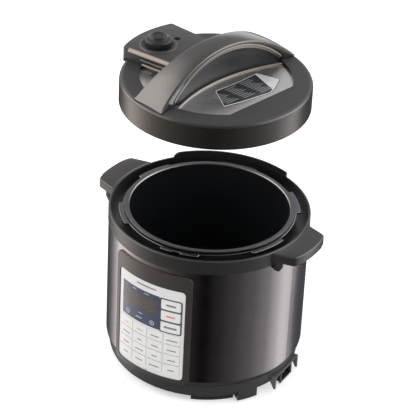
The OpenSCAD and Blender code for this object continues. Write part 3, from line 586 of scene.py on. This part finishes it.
mark_turn, mark_z, mark_r = math.radians(-86), ring_top - 0.0185, 0.14505
mark_half, mark_low, mark_tip, mark_rise = 0.022, -0.0028, 0.0034, 1.0028
mark = bmesh.new()
corners = ((-mark_half, mark_low), (mark_half, mark_low), (0, mark_tip))
front = mark.faces.new([mark.verts.new((mark_r * math.cos(mark_turn + a), mark_r * math.sin(mark_turn + a),
                                        mark_z + z)) for a, z in corners])
raised = bmesh.ops.extrude_face_region(mark, geom=[front])
for v in (g for g in raised["geom"] if isinstance(g, bmesh.types.BMVert)):
    v.co.x *= mark_rise
    v.co.y *= mark_rise
new_piece("close_mark", mark, moulding("mark_plastic", (0.020, 0.019, 0.018), 0.5), "housing")

# ---- control panel ----
# Satin bezel with a silver-white printed film over the boards. The film bulges into a pad over each
# switch; the legends are dark grey ink, red on the first two programs and on the stop key.

overlay_low, overlay_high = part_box("panel_overlay")
film_radius = -overlay_low.y


def outline(a0, a1, z0, z1, corner, points=6):
    """Closed outline with round corners, in metres along the film and up it."""
    corner = min(corner, (a1 - a0) / 2.01, (z1 - z0) / 2.01)
    loop = []
    for cx, cz, start in ((a1 - corner, z1 - corner, 0), (a0 + corner, z1 - corner, 90),
                          (a0 + corner, z0 + corner, 180), (a1 - corner, z0 + corner, 270)):
        for i in range(points):
            t = math.radians(start + 90 * i / (points - 1))
            loop.append((cx + corner * math.cos(t), cz + corner * math.sin(t)))
    return loop


def disc(cx, cz, radius):
    turns = [2 * math.pi * i / 24 for i in range(24)]
    return [(cx + radius * math.cos(t), cz + radius * math.sin(t)) for t in turns]


def fill_loops(mesh, loops):
    """Flat faces inside closed loops of (x, z) points; a loop inside another is a hole."""
    for loop in loops:
        verts = [mesh.verts.new((x, 0, z)) for x, z in loop]
        for a, b in zip(verts, verts[1:] + verts[:1]):
            mesh.edges.new((a, b))
    bmesh.ops.triangle_fill(mesh, use_beauty=True, use_dissolve=False, edges=mesh.edges[:], normal=(0, -1, 0))


def film_print(name, groups, radius, rise, material, body):
    """Thin ink layer bent round the panel. Each group of loops is filled by itself."""
    mesh = bmesh.new()
    for loops in groups:
        part = bmesh.new()
        fill_loops(part, loops)
        spare = bpy.data.meshes.new("spare")
        part.to_mesh(spare)
        part.free()
        mesh.from_mesh(spare)
        bpy.data.meshes.remove(spare)
    xs = [v.co.x for v in mesh.verts]
    step = radius * math.radians(1.5)
    for i in range(math.ceil(min(xs) / step), math.floor(max(xs) / step) + 1):
        bmesh.ops.bisect_plane(mesh, geom=mesh.verts[:] + mesh.edges[:] + mesh.faces[:],
                               plane_co=(i * step, 0, 0), plane_no=(1, 0, 0))
    raised = bmesh.ops.extrude_face_region(mesh, geom=mesh.faces[:])
    for v in (g for g in raised["geom"] if isinstance(g, bmesh.types.BMVert)):
        v.co.y -= rise
    for v in mesh.verts:
        r, a = radius - v.co.y, v.co.x / radius
        v.co = (r * math.sin(a), -r * math.cos(a), v.co.z)
    return new_piece(name, mesh, material, body)


def node_patch(name):
    """Extent of a curved node along the film and up it, in metres."""
    low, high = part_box(name)
    return (film_radius * math.asin(low.x / film_radius), film_radius * math.asin(high.x / film_radius),
            low.z, high.z)


def film(name, colour, roughness):
    """Printed or coloured film under a satin varnish."""
    material, tree, shader = finish(name, coat=0.5, coat_roughness=0.12)
    lay_on(tree, shader, hand_smudges, Color=(*colour, 1), Roughness=roughness, Amount=0.25)
    weave = noise(tree, 2600, 1)
    raise_by(tree, shader, weave.outputs["Fac"], 0.000006)
    return material


dress(nodes["panel_bezel"], moulding("bezel_plastic", (0.135, 0.123, 0.116), 0.33, metallic=0.8,
                                     fineness=500, depth=0.000006))
dress(nodes["panel_overlay"], film("overlay_film", (0.60, 0.596, 0.585), 0.35))
key_film = film("key_film", (0.63, 0.626, 0.615), 0.35)
ink_grey = film("ink_grey", (0.17, 0.17, 0.18), 0.5)
ink_red = film("ink_red", (0.62, 0.22, 0.19), 0.5)
ink_slate = film("ink_slate", (0.060, 0.070, 0.095), 0.3)
ink_pale = film("ink_pale", (0.45, 0.48, 0.55), 0.5)
ink_line = film("ink_line", (0.40, 0.40, 0.40), 0.5)
ink_amber = film("ink_amber", (0.125, 0.090, 0.070), 0.4)

legend_rise = 0.00012
key_top = film_radius + 0.0003


def legend(name, patch, share, low, high, corner, ink, body):
    """Bar of ink in the middle of a key, as wide as its share of the key."""
    middle, width = (patch[0] + patch[1]) / 2, share * (patch[1] - patch[0])
    bar = outline(middle - width / 2, middle + width / 2, low, high, corner)
    film_print(name, [[bar]], key_top, legend_rise, ink, body)


def grown(patch, by, corner):
    """Outline of a key, wider by a margin on every side."""
    a0, a1, z0, z1 = patch
    return outline(a0 - by, a1 + by, z0 - by, z1 + by, corner)


skirts = []
for row in range(1, 5):
    for column in range(1, 5):
        key = f"program_key_{row}{column}"
        dress(nodes[key], key_film)
        patch = node_patch(key)
        skirts.append([grown(patch, 0.00034, 0.0026), grown(patch, 0, 0.0024)])
        share = 0.26 + 0.10 * ((3 * row + 5 * column) % 4) + 0.03 * column
        ink = ink_red if (row, column) in ((1, 1), (1, 2)) else ink_grey
        legend(f"legend_{row}{column}", patch, share, patch[2] + 0.0058, patch[2] + 0.0074, 0.0004, ink,
               f"key_{row}{column}_body")
command_keys = ("start", "stop", "delay")
for key, ink, share in zip(command_keys, (ink_grey, ink_red, ink_grey), (0.48, 0.42, 0.62)):
    dress(nodes["key_" + key], key_film)
    patch = node_patch("key_" + key)
    middle = (patch[2] + patch[3]) / 2
    legend("legend_" + key, patch, share, middle - 0.0018, middle + 0.0012, 0.0006, ink, key + "_key")
    border = [grown(patch, 0, 0.0024), grown(patch, -0.0008, 0.0022)]
    film_print("frame_" + key, [border], key_top, 0.00008, ink_slate, key + "_key")

# pale silicone skirt that closes the gap round each program key
film_print("key_skirts", skirts, film_radius - 0.0006, 0.0002, key_film, "housing")

# dark slate print that joins the display window to the frames of the three command keys
start, delay, window = node_patch("key_start"), node_patch("key_delay"), node_patch("display_window")
line = 0.0012
holes = [grown(node_patch("key_" + key), 0.0003, 0.0026) for key in command_keys]
surround = outline(window[1] + 0.0003, start[1] + line + 0.0004, delay[2] - line, start[3] + line, 0.0034)
film_print("command_surround", [[surround] + holes], film_radius, legend_rise, ink_slate, "housing")

# thin lines between the rows of program keys
rows = [node_patch(f"program_key_{row}1") for row in range(1, 5)]
right = node_patch("program_key_14")[1]
levels = [(above[2] + below[3]) / 2 - 0.00015 for above, below in zip(rows, rows[1:])]
film_print("row_lines", [[outline(rows[0][0], right, z, z + 0.0003, 0.0001, 2)] for z in levels], film_radius,
           0.0001, ink_line, "housing")

# a small mark at the foot of the film and a plain bar at its head
foot, head = overlay_low.z + 0.0012, overlay_high.z - 0.0090
film_print("foot_mark", [[[(-0.002, foot), (0.002, foot), (0, foot + 0.0022)]]], film_radius, legend_rise,
           ink_grey, "housing")
film_print("head_bar", [[outline(-0.021, 0.013, head, head + 0.0022, 0.0004)]], film_radius, legend_rise,
           ink_grey, "housing")

# display window: smoked filter with four amber digits, two round symbols and small bars
dress(nodes["display_window"], film("window_filter", (0.050, 0.060, 0.095), 0.12))
dress(nodes["display_digits"], moulding("digit_module", (0.30, 0.14, 0.06), 0.4))
face = -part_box("display_window")[0].y
centre = (window[0] + window[1]) / 2
span = window[1] - window[0]
lens_z, lens_half = window[2] + 0.62 * (window[3] - window[2]), 0.0125
lens = outline(centre - 0.44 * span, centre + 0.44 * span, lens_z - lens_half, lens_z + lens_half, 0.001)
film_print("display_glow", [[lens]], face, 0.00005, film("glow", (0.075, 0.062, 0.060), 0.15), "housing")


def digit(cx, cz, width, height, stroke):
    """Seven bars of one digit."""
    bars = []
    for z in (-height / 2, 0, height / 2):
        bars.append(outline(cx - width / 2 + stroke, cx + width / 2 - stroke, cz + z - stroke / 2,
                            cz + z + stroke / 2, stroke / 2.2, 3))
    for x in (-width / 2, width / 2):
        for z in (-height / 4, height / 4):
            bars.append(outline(cx + x - stroke / 2, cx + x + stroke / 2, cz + z - height / 4 + stroke,
                                cz + z + height / 4 - stroke, stroke / 2.2, 3))
    return bars


bars = [[loop] for i in range(4)
        for loop in digit(centre + (i - 1.5) * 0.21 * span, lens_z, 0.0085, 0.0150, 0.0012)]
film_print("digits", bars, face + 0.00005, 0.0001, ink_amber, "housing")
icon_z = window[2] + 0.0075
left_right = [centre + s * 0.33 * span for s in (-1, 1)]
icons = [[disc(x, icon_z, 0.0038), disc(x, icon_z, 0.0029)] for x in left_right]
icons += [[disc(x, icon_z, 0.0011)] for x in left_right]
icons += [[outline(a0, a1, z0, z1, 0.0003)] for a0, a1, z0, z1 in (
    (centre - 0.006, centre + 0.005, icon_z - 0.0007, icon_z + 0.0007),
    (centre - 0.002, centre + 0.006, icon_z + 0.0075, icon_z + 0.0085),
    (centre - 0.20 * span, centre - 0.10 * span, window[3] - 0.0045, window[3] - 0.0035),
    (centre + 0.12 * span, centre + 0.24 * span, window[3] - 0.0045, window[3] - 0.0035))]
film_print("window_symbols", icons, face, legend_rise, ink_pale, "housing")

# ---- boards and switches ----
# Green solder-masked boards, one behind the panel and one over the base. Ivory switch bodies stand on
# the first, behind the keys.

board_green = moulding("board_green", (0.03, 0.16, 0.07), 0.35, fineness=500, depth=0.00005)
for name in ("control_board", "power_board"):
    dress(nodes[name], board_green)
dress(nodes["tact_switches"], moulding("switch_plastic", (0.45, 0.45, 0.42), 0.4))

# ---- well and heater ----
# Pressed steel well whose flange ends in six locking lobes, a cast aluminium heating plate with its
# machined face, the sheathed element under it, and the sprung sensor in its middle.


def build_edge_mask():
    """Mask of the bevels and rounded edges that point halfway between up and outwards."""
    group, given, made = effect("edge_mask", {"Low": (NUMBER, 0.25), "High": (NUMBER, 0.93)},
                                {"Mask": NUMBER})
    split = group.nodes.new("ShaderNodeSeparateXYZ")
    group.links.new(group.nodes.new("ShaderNodeTexCoord").outputs["Normal"], split.inputs[0])
    above = calculate(group, "GREATER_THAN", split.outputs["Z"], given.outputs["Low"])
    below = calculate(group, "LESS_THAN", split.outputs["Z"], given.outputs["High"])
    group.links.new(calculate(group, "MULTIPLY", above, below), made.inputs["Mask"])
    return group


def edged_metal(name, colour, roughness, bare, lines):
    """Dark coated metal whose edges are bare."""
    material = sheet_metal(name, colour, roughness, lines)
    tree = material.node_tree
    shader = tree.nodes["Principled BSDF"]
    plain = shader.inputs["Base Color"].links[0].from_socket
    mask = use(tree, edge_mask)
    tree.links.new(blend(tree, mask.outputs["Mask"], plain, bare), shader.inputs["Base Color"])
    return material


edge_mask = build_edge_mask()
well_steel = edged_metal("well_steel", (0.175, 0.18, 0.20), 0.34, (0.55, 0.54, 0.52), 700)
dress(nodes["outer_pot"], well_steel)
flange_low, flange_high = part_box("outer_pot")
lobe_r, flange_top = (flange_high.y - flange_low.y) / 2, flange_high.z
rim_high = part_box("inner_pot")[1]
flange_r, well_r = rim_high.y + 0.0025, rim_high.y - 0.0005
first_lobe, lobe_pitch, stepped_lobe = 45, 60, 4
lobes = []
for i in range(6):
    middle = first_lobe + lobe_pitch * i
    lobes += [(p.x, p.y) for p in arc(flange_r, middle - 47, middle - 13.2, 13)]
    lobes += [(p.x, p.y, 0.002) for p in arc(lobe_r, middle - 12.3, middle - 12.2, 2)[:1]]
    if i == stepped_lobe:
        lobes += [(p.x, p.y) for p in arc(lobe_r, middle - 10.5, middle - 5.0, 4)]
        lobes += [(p.x, p.y, 0.001) for p in arc(lobe_r - 0.0028, middle - 4.6, middle + 0.9, 2)]
        lobes += [(p.x, p.y) for p in arc(lobe_r, middle + 1.3, middle + 10.5, 5)]
    else:
        lobes += [(p.x, p.y) for p in arc(lobe_r, middle - 10.5, middle + 10.5, 11)]
    lobes += [(p.x, p.y, 0.002) for p in arc(lobe_r, middle + 12.2, middle + 12.3, 2)[1:]]
mesh = bmesh.new()
slab(mesh, rounded(lobes, 4), flange_top - 0.0021, flange_top + 0.0002, 0.0008, 0.0003,
     holes=[(0, 0, well_r - 0.0002, 0.0021)], steps=3)
# the hole goes right through: its floor and the plate's flat underside give way to a ring
discs = [face for face in mesh.faces if face.calc_center_median().xy.length < 0.03 and len(face.verts) > 6]
bmesh.ops.delete(mesh, geom=discs, context="FACES_ONLY")
bmesh.ops.triangle_fill(mesh, use_beauty=True, edges=[e for e in mesh.edges if e.is_boundary],
                        normal=(0, 0, -1))
new_piece("well_flange", mesh, well_steel, "housing", 45)

dress(nodes["heating_plate"], sheet_metal("heater_aluminium", (0.62, 0.63, 0.64), 0.32, 1200, 0.00002))
dress(nodes["heating_element"], moulding("element_metal", (0.16, 0.15, 0.15), 0.6, metallic=0.8,
                                         fineness=600))
dress(nodes["temp_sensor"], sheet_metal("sensor_metal", (0.70, 0.70, 0.71), 0.25, 3000))
# the spring, which shortens as the sensor is pressed down, is copied into a piece of its own that rides on
# the housing
joints = {joint["name"]: joint for joint in frame["joints"]}
coil = bpy.data.objects.new("pressed_spring", nodes["sensor_spring"].data.copy())
scene.collection.objects.link(coil)
dress(coil, sheet_metal("spring_steel", (0.62, 0.63, 0.65), 0.2, 4000))
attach(coil, "housing")
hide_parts("sensor_spring")
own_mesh(coil)
dress(nodes["thermal_fuse"], moulding("ceramic", (0.62, 0.56, 0.46), 0.7, fineness=500, depth=0.0001))

# ---- mains inlet ----
# Black moulded inlet with three brass pins. It sits in the base under the hood, at the right side.

dress(nodes["power_inlet"], moulding("socket_plastic", (0.02, 0.02, 0.02), 0.38))
dress(nodes["inlet_pins"], sheet_metal("pin_brass", (0.70, 0.56, 0.30), 0.25, 3000))

# ---- condensate cup ----
# Clear smoked cup of moulded plastic that catches the water from the ring's channel. It slides onto
# its bracket at the rear.


def smoked_cup():
    """Clear plastic with a grey tint, lightly smudged."""
    material, tree, shader = finish("cup_plastic", ior=1.49)
    shader.inputs["Transmission Weight"].default_value = 0.85
    lay_on(tree, shader, hand_smudges, Color=(0.62, 0.66, 0.70, 1), Roughness=0.12, Amount=0.5)
    return material


dress(nodes["condensate_cup"], smoked_cup())

# ---- inner pot ----
# Drawn aluminium pot with a black non-stick coating, satin and slightly mottled, and a flat rim.

pot_coating = moulding("pot_coating", (0.008, 0.010, 0.012), 0.40, metallic=0.1, fineness=2200, depth=0.00001)
dress(nodes["inner_pot"], pot_coating)
rim_inside, rim_edge, rim_z = rim_high.y - 0.0070, rim_high.y + 0.0001, rim_high.z
rim = bmesh.new()
turned(rim, [(rim_inside, rim_z - 0.0012), (rim_inside + 0.0011, rim_z + 0.0001),
             (rim_high.y - 0.0009, rim_z + 0.0001), (rim_edge, rim_z - 0.0009),
             (rim_edge, rim_z - 0.0020), (rim_inside + 0.0008, rim_z - 0.0016)],
       Vector((0, 0, 0)), Matrix.Identity(4), 144)
rim_metal = edged_metal("pot_rim_metal", (0.165, 0.172, 0.19), 0.36, (0.34, 0.335, 0.325), 700)
new_piece("pot_rim", rim, rim_metal, "pot", 20)

# ---- lid ----
# Pressed steel lid with a dark plastic cover round it; the steel shows in the middle, brushed round.
# The white silicone ring sits inside on its steel frame.

# the lid hovers at rest; its new pieces are shaped where it sits locked, and placed up there
lift = joints["lid_lift"]["range_m"][0]
lid_turn = -math.radians(joints["lid_turn"]["range_deg"][0])
lid_place = Matrix.Translation((0, 0, -lift)) @ Matrix.Rotation(lid_turn, 4, "Z")

silicone = moulding("silicone_clear", (0.72, 0.73, 0.72), 0.42, fineness=900)
dress(nodes["sealing_ring"], silicone)
dress(nodes["float_gasket"], silicone)
dress(nodes["lid_metal"], sheet_metal("lid_steel", (0.82, 0.815, 0.805), 0.30, 9000, 0.0000005))


def lid_plastic():
    """Matt on top, with a bronze metallic coat down its skirt."""
    material, tree, shader = finish("cover_plastic")
    grain = use(tree, moulded_grain, Color=(0.036, 0.036, 0.038, 1), Roughness=0.45, Fineness=1400)
    mask = use(tree, edge_mask, Low=-0.5, High=0.62)
    skirt = mask.outputs["Mask"]
    bronzed = blend(tree, skirt, grain.outputs["Color"], (0.15, 0.139, 0.129))
    tree.links.new(bronzed, shader.inputs["Base Color"])
    tree.links.new(calculate(tree, "MULTIPLY", skirt, 0.95), shader.inputs["Metallic"])
    fall = calculate(tree, "MULTIPLY", skirt, -0.22)
    tree.links.new(calculate(tree, "ADD", grain.outputs["Roughness"], fall), shader.inputs["Roughness"])
    raise_by(tree, shader, grain.outputs["Height"], 0.000008)
    return material


dress(nodes["lid_cover"], lid_plastic())

# ---- lid handle ----
# Arched grip in gloss dark bronze, standing on a thin web that is scooped out on both sides for the
# fingers. It is screwed on from inside the lid.

plate_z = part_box("lid_metal")[1].z + lift
cover_low, cover_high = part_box("lid_cover")
ring_z, cover_edge = cover_high.z + lift, (cover_high.x - cover_low.x) / 2
opening_r = cover_edge - 0.028
arch_reach = cover_edge - 0.003
arch_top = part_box("lid_handle")[1].z + lift
arch_rise = arch_top - ring_z
arch_r = (arch_reach ** 2 + arch_rise ** 2) / (2 * arch_rise)
hollow_rise = arch_rise - 0.010
hollow_r = (opening_r ** 2 + hollow_rise ** 2) / (2 * hollow_rise)
mid_half, foot_half, web_half = 0.0175, 0.0275, 0.004
waist_r = (arch_reach ** 2 + (foot_half - mid_half) ** 2) / (2 * (foot_half - mid_half))
scoop_r = (opening_r ** 2 + (foot_half - web_half) ** 2) / (2 * (foot_half - web_half))


def arch_height(x):
    """Top of the arch along its middle."""
    return arch_top - arch_r + math.sqrt(max(0.0, arch_r ** 2 - x * x))


def half_width(x):
    """Half width of the grip, narrowest at the middle."""
    return mid_half + waist_r - math.sqrt(waist_r ** 2 - x * x)


def hollow_height(x):
    """Underside of the arch, down to the lid's top ring at its feet."""
    if abs(x) > opening_r:
        return ring_z
    return max(ring_z, ring_z + hollow_rise - hollow_r + math.sqrt(hollow_r ** 2 - x * x))


def web_width(x, z):
    """Half thickness of the web; a sphere scoops out each side."""
    return web_half + scoop_r - math.sqrt(max(0.0, scoop_r ** 2 - x * x - (z - ring_z - 0.004) ** 2))


def arch_section(x):
    """Half outlines across the handle: the grip from its top's middle to its inner edge, and the web."""
    width, top, under = half_width(x), arch_height(x), hollow_height(x)
    crown = 0.0016
    edge = min(0.0032, 0.45 * max(top - under, 0.0002))
    points = [(width - edge) * k / 6 for k in range(7)]
    half = [(y, top - crown * (y / width) ** 2) for y in points]
    level = half[-1][1]
    for k in range(1, 6):
        t = math.pi / 2 * k / 5
        half.append((width - edge + edge * math.sin(t), level - edge + edge * math.cos(t)))
    lip = min(0.0012, 0.3 * max(top - under, 0.0002))
    half += [(width, under + lip), (width - lip * 0.3, under + lip * 0.3), (width - lip, under)]
    inner = max(width - 0.0030, 0.5 * width)
    half.append((inner, under))
    foot = plate_z + 0.0001 if abs(x) < opening_r - 0.001 else ring_z
    web = [(inner, under + 0.0002)]
    for k in range(1, 13):
        z = under - (under - foot) * k / 12
        thin = min(web_width(x, z), inner)
        cove = max(0.0, 1 - (k / 12) / 0.42) ** 2.2
        web.append((thin + (inner - thin) * cove, z))
    return half, web


def arch_part(part, reach):
    """Grip (0) or web (1) as a closed skin along the handle."""
    mesh = bmesh.new()
    sections = []
    for k in range(-40, 41):
        x = reach * math.sin(math.pi / 2 * k / 40)
        half = arch_section(x)[part]
        other = half if part else half[1:]
        sections.append([(x, y, z) for y, z in half] + [(x, -y, z) for y, z in reversed(other)])
    swept(mesh, sections, lid_place)
    bmesh.ops.remove_doubles(mesh, verts=mesh.verts[:], dist=0.00002)
    return mesh


handle_gloss = moulding("handle_gloss", (0.150, 0.147, 0.145), 0.20, metallic=0.92, fineness=300,
                        depth=0.000003)
grip = new_piece("arch_grip", arch_part(0, arch_reach - 0.0012), handle_gloss, "lid", 50)
web_plastic = moulding("web_plastic", (0.022, 0.024, 0.027), 0.42, metallic=0.2, fineness=900, depth=0.000006)
new_piece("arch_web", arch_part(1, opening_r - 0.0012), web_plastic, "lid", 50)
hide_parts("lid_handle")

# ---- champagne trim ----
# Metallised strips: a broad and a narrow one along each lower edge of the arch, and one along each
# foot of the web. They are pressed into grooves.

champagne = moulding("champagne_trim", (0.34, 0.295, 0.255), 0.34, metallic=0.8, fineness=500, depth=0.000002)


def strip(mesh, path, width, rise, across, off):
    """Rounded strip along a path of points, with its directions across and off the face."""
    profile = [(-0.5, 0), (-0.5, 0.6), (-0.36, 0.95), (0, 1.1), (0.36, 0.95), (0.5, 0.6), (0.5, 0)]
    swept(mesh, [[Vector(point) + across * (width * a) + off * (rise * b) for a, b in profile]
                 for point in path], lid_place)


mesh = bmesh.new()
limit = opening_r - 0.0035
xs = [limit * math.sin(math.pi / 2 * k / 32) for k in range(-32, 33)]
foot_xs = [x for x in xs if web_width(x, plate_z) < half_width(x) + 0.002]
sideways, upwards = Vector((0, 1, 0)), Vector((0, 0, 1))
for side in (-1, 1):
    edge_path = [(x, side * (half_width(x) - 0.0002), hollow_height(x) + 0.0030) for x in xs]
    strip(mesh, edge_path, 0.0042, 0.0010, upwards, Vector((0, side, 0)))
    lip_path = [(x, side * (half_width(x) - 0.0020), hollow_height(x) + 0.0002) for x in xs]
    strip(mesh, lip_path, 0.0018, 0.0014, sideways, Vector((0, side * 0.5, -0.87)))
    foot_path = [(x, side * (web_width(x, plate_z) + 0.0021), plate_z + 0.0001) for x in foot_xs]
    strip(mesh, foot_path, 0.0044, 0.0022, sideways, upwards)
piece = new_piece("arch_trim", mesh, champagne, "lid", 50)
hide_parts("lid_trim")

# ---- valve block ----
# Satin charcoal block behind the arch that holds the steam valve, with a round raised seat and the
# hole of the float pin. A broad champagne strip caps its left edge over two fine grooves.

block_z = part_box("valve_housing")[1].z + lift
block_r = 0.1384
left_foot, left_tip = Vector((-0.0415, 0.0215)), Vector((-0.0590, 0.1120))
top_start, top_end = 73.0, 115.5
waist = [Vector((x, half_width(x) + 0.0006)) for x in [left_foot.x + 0.0125 * k for k in range(1, 8)]
         if x < 0.047]
loop = rounded(arc(block_r, top_start, top_end, 25) + [(-0.0602, 0.1215, 0.004), (left_foot.x, left_foot.y)]
               + waist + [(0.0492, 0.0215), (0.0425, 0.1050, 0.010)], 6)
block_plastic = moulding("block_plastic", (0.075, 0.075, 0.078), 0.42, metallic=0.35, depth=0.00001)
valve_turn = math.radians(102)
valve_place = Vector((0.098 * math.cos(valve_turn), 0.098 * math.sin(valve_turn)))
float_hole = (0.013, 0.0925, 0.0046, 0.0145)
mesh = bmesh.new()
slab(mesh, loop, ring_z + 0.0001, block_z, 0.0016, 0.0002, lid_place, [float_hole])
lip = arc(block_r, top_start, top_end, 25) + arc(cover_edge + 0.0001, top_end, top_start, 25)
slab(mesh, lip, ring_z - 0.007, ring_z + 0.0006, 0.0001, 0.0006, lid_place, steps=2)
# the block's foot inside the cover's opening, down to the steel
foot_start, foot_end = (math.degrees(math.acos(x / opening_r)) for x in (0.0455, -0.0565))
foot = arc(opening_r - 0.0004, foot_start, foot_end, 21)
foot += [Vector((left_foot.x + 0.0006, left_foot.y + 0.002))]
foot += [p + Vector((0, 0.0004)) for p in waist if p.x < 0.045] + [Vector((0.0480, 0.0235))]
slab(mesh, foot, plate_z + 0.0001, ring_z + 0.0005, 0.0001, 0.0001, lid_place, steps=1)
piece = new_piece("valve_block", mesh, block_plastic, "lid", 40)
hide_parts("valve_housing")

seat = bmesh.new()
seat_profile = [(0.0222, -0.0006), (0.0222, 0.0010), (0.0228, 0.0017), (0.0256, 0.0017), (0.0266, 0.0012),
                (0.0272, -0.0002)]
turned(seat, [(r, block_z + z) for r, z in seat_profile], valve_place, lid_place)
seat_plastic = moulding("seat_plastic", (0.085, 0.083, 0.080), 0.3, metallic=0.3)
new_piece("valve_seat_ring", seat, seat_plastic, "lid", 50)

edge = left_tip - left_foot
across = Vector((-edge.y, edge.x)).normalized()
mesh = bmesh.new()


def edge_strip(offset, z, width, rise, lean, start, end):
    """Strip along the block's left edge, leaning outwards by an angle."""
    path = [left_foot + edge * (start + (end - start) * k / 6) + across * offset for k in range(7)]
    tilt = math.radians(lean)
    side = Vector((across.x * math.cos(tilt), across.y * math.cos(tilt), -math.sin(tilt)))
    off = Vector((across.x * math.sin(tilt), across.y * math.sin(tilt), math.cos(tilt)))
    strip(mesh, [(p.x, p.y, z) for p in path], width, rise, side, off)


edge_strip(0.0006, block_z - 0.0015, 0.0062, 0.0012, 42, 0.05, 1.02)
edge_strip(0.0006, plate_z + 0.0105, 0.0016, 0.0009, 80, 0.03, 0.80)
edge_strip(0.0012, plate_z + 0.0040, 0.0030, 0.0010, 60, 0.03, 0.76)
new_piece("block_trim", mesh, champagne, "lid", 50)

arrow = bmesh.new()
tip = Vector((-0.0560, 0.0620))
along = edge.normalized()
shape = [tip + along * a * 0.001 + across * b * 0.001
         for a, b in ((6, -1), (6, 7), (-2, 7), (-7, 3), (-2, -1))]
slab(arrow, shape, plate_z + 0.0001, plate_z + 0.0003, 0.0, 0.0, lid_place, steps=1)
new_piece("turn_arrow", arrow, moulding("arrow_ink", (0.06, 0.06, 0.065), 0.5), "lid")

# ---- steam valve ----
# Soft-touch black knob that drops over the vent pipe: a broad skirt, a domed shoulder and a flat cap
# with an open ring pressed into it.

knob_low, knob_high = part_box("steam_valve")
knob_r = (knob_high.x - knob_low.x) / 2
knob_z, knob_h = knob_low.z + lift, knob_high.z - knob_low.z
shoulder_r, shoulder_z = knob_r - 0.0050, 0.0058
profile = [(0.0045, 0.0), (knob_r - 0.0012, 0.0), (knob_r - 0.0003, 0.0004), (knob_r, 0.0014),
           (knob_r - 0.0002, shoulder_z)]
profile += [(shoulder_r + 0.0048 * math.cos(math.radians(a)), shoulder_z + 0.0036 * math.sin(math.radians(a)))
            for a in (15, 30, 45, 60, 75)]
profile += [(knob_r * 0.66, 0.0101), (knob_r * 0.615, 0.0108), (knob_r * 0.60, knob_h - 0.0016),
            (knob_r * 0.575, knob_h - 0.0006), (knob_r * 0.52, knob_h), (knob_r * 0.40, knob_h),
            (knob_r * 0.36, knob_h - 0.0005), (0.0008, knob_h - 0.0004), (0.0008, knob_h - 0.004),
            (0.0045, knob_h - 0.004)]
knob = bmesh.new()
turned(knob, [(r, knob_z + z) for r, z in profile], valve_place, lid_place, 96)
knob_plastic = moulding("knob_plastic", (0.030, 0.031, 0.033), 0.34, metallic=0.3, fineness=1800,
                        depth=0.00001)
piece = new_piece("valve_knob_body", knob, knob_plastic, "valve_knob", 45)
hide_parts("steam_valve")
ring_mark = bmesh.new()
open_ring = arc(0.0062, 40, 320, 25) + arc(0.0046, 320, 40, 25)
top_turn = (lid_place @ Matrix.Translation((valve_place.x, valve_place.y, 0))
            @ Matrix.Rotation(math.radians(30), 4, "Z"))
slab(ring_mark, open_ring, knob_z + knob_h - 0.0006, knob_z + knob_h - 0.0002, 0.0, 0.0, top_turn, steps=1)
new_piece("valve_ring_mark", ring_mark, moulding("ring_mark_ink", (0.006, 0.006, 0.006), 0.6), "valve_knob")

# ---- label ----
# Printed foil label on the steel in front of the handle: a pale border round a dark field with rows
# of plain bars, and a pale corner.


def flat_piece(name, loops, low, high, material):
    """Printed layer on the steel; its heights are counted from the sheet in hundredths of a millimetre."""
    mesh = bmesh.new()
    for loop in loops:
        slab(mesh, loop, top + low * 0.00001, top + high * 0.00001, 0.0, 0.0, lid_place, steps=1)
    return new_piece(name, mesh, material, "lid")


top = plate_z + 0.00005
label_edge = rounded([(-0.048, -0.063, 0.003), (-0.021, -0.069, 0.001), (0.030, -0.0765, 0.002),
                      (0.043, -0.0715, 0.002), (0.068, -0.057, 0.003), (0.055, -0.023, 0.003),
                      (0.014, -0.0245, 0.02), (-0.026, -0.022, 0.003)], 5)
foil = film("label_foil", (0.74, 0.74, 0.73), 0.3)
dark_foil = film("label_dark", (0.035, 0.037, 0.042), 0.35)
flat_piece("label_border", [label_edge], 0, 10, dark_foil)
flat_piece("label", [inset(label_edge, 0.0009)], 10, 18, foil)
field = rounded([(-0.0450, -0.0612, 0.002), (-0.020, -0.0665, 0.001), (0.030, -0.0742, 0.001),
                 (0.0385, -0.0705), (0.0505, -0.0255), (0.014, -0.0270, 0.02), (-0.0245, -0.0250, 0.002)], 5)
flat_piece("label_field", [field], 18, 24, dark_foil)


def bar(x0, x1, low, high):
    """Outline of a plain bar."""
    return [Vector(p) for p in ((x0, low), (x1, low), (x1, high), (x0, high))]


bars = []
for column, (start, stop) in enumerate(((-0.036, -0.014), (-0.008, 0.014), (0.020, 0.044))):
    for row in range(10):
        y = -0.0305 - 0.0040 * row
        lean = -0.0018 * (row - 4)
        length = (stop - start) * (0.60 + 0.34 * ((row * 5 + column * 3) % 4) / 3)
        x0 = start - 0.35 * lean - 0.003
        if y > -0.0600 - 0.004 * column:
            bars.append(bar(x0, x0 + length, y - 0.0007, y + 0.0006))
flat_piece("label_bars", bars, 24, 30, film("label_grey", (0.33, 0.34, 0.36), 0.4))
pale_bars = []
for k in range(5):
    y = -0.037 - 0.004 * k
    end = 0.0555 - 0.16 * (y + 0.034)
    pale_bars.append(bar(0.0525, end, y, y + 0.0008))
flat_piece("label_fine_bars", pale_bars, 18, 22, film("label_mid", (0.50, 0.51, 0.53), 0.4))
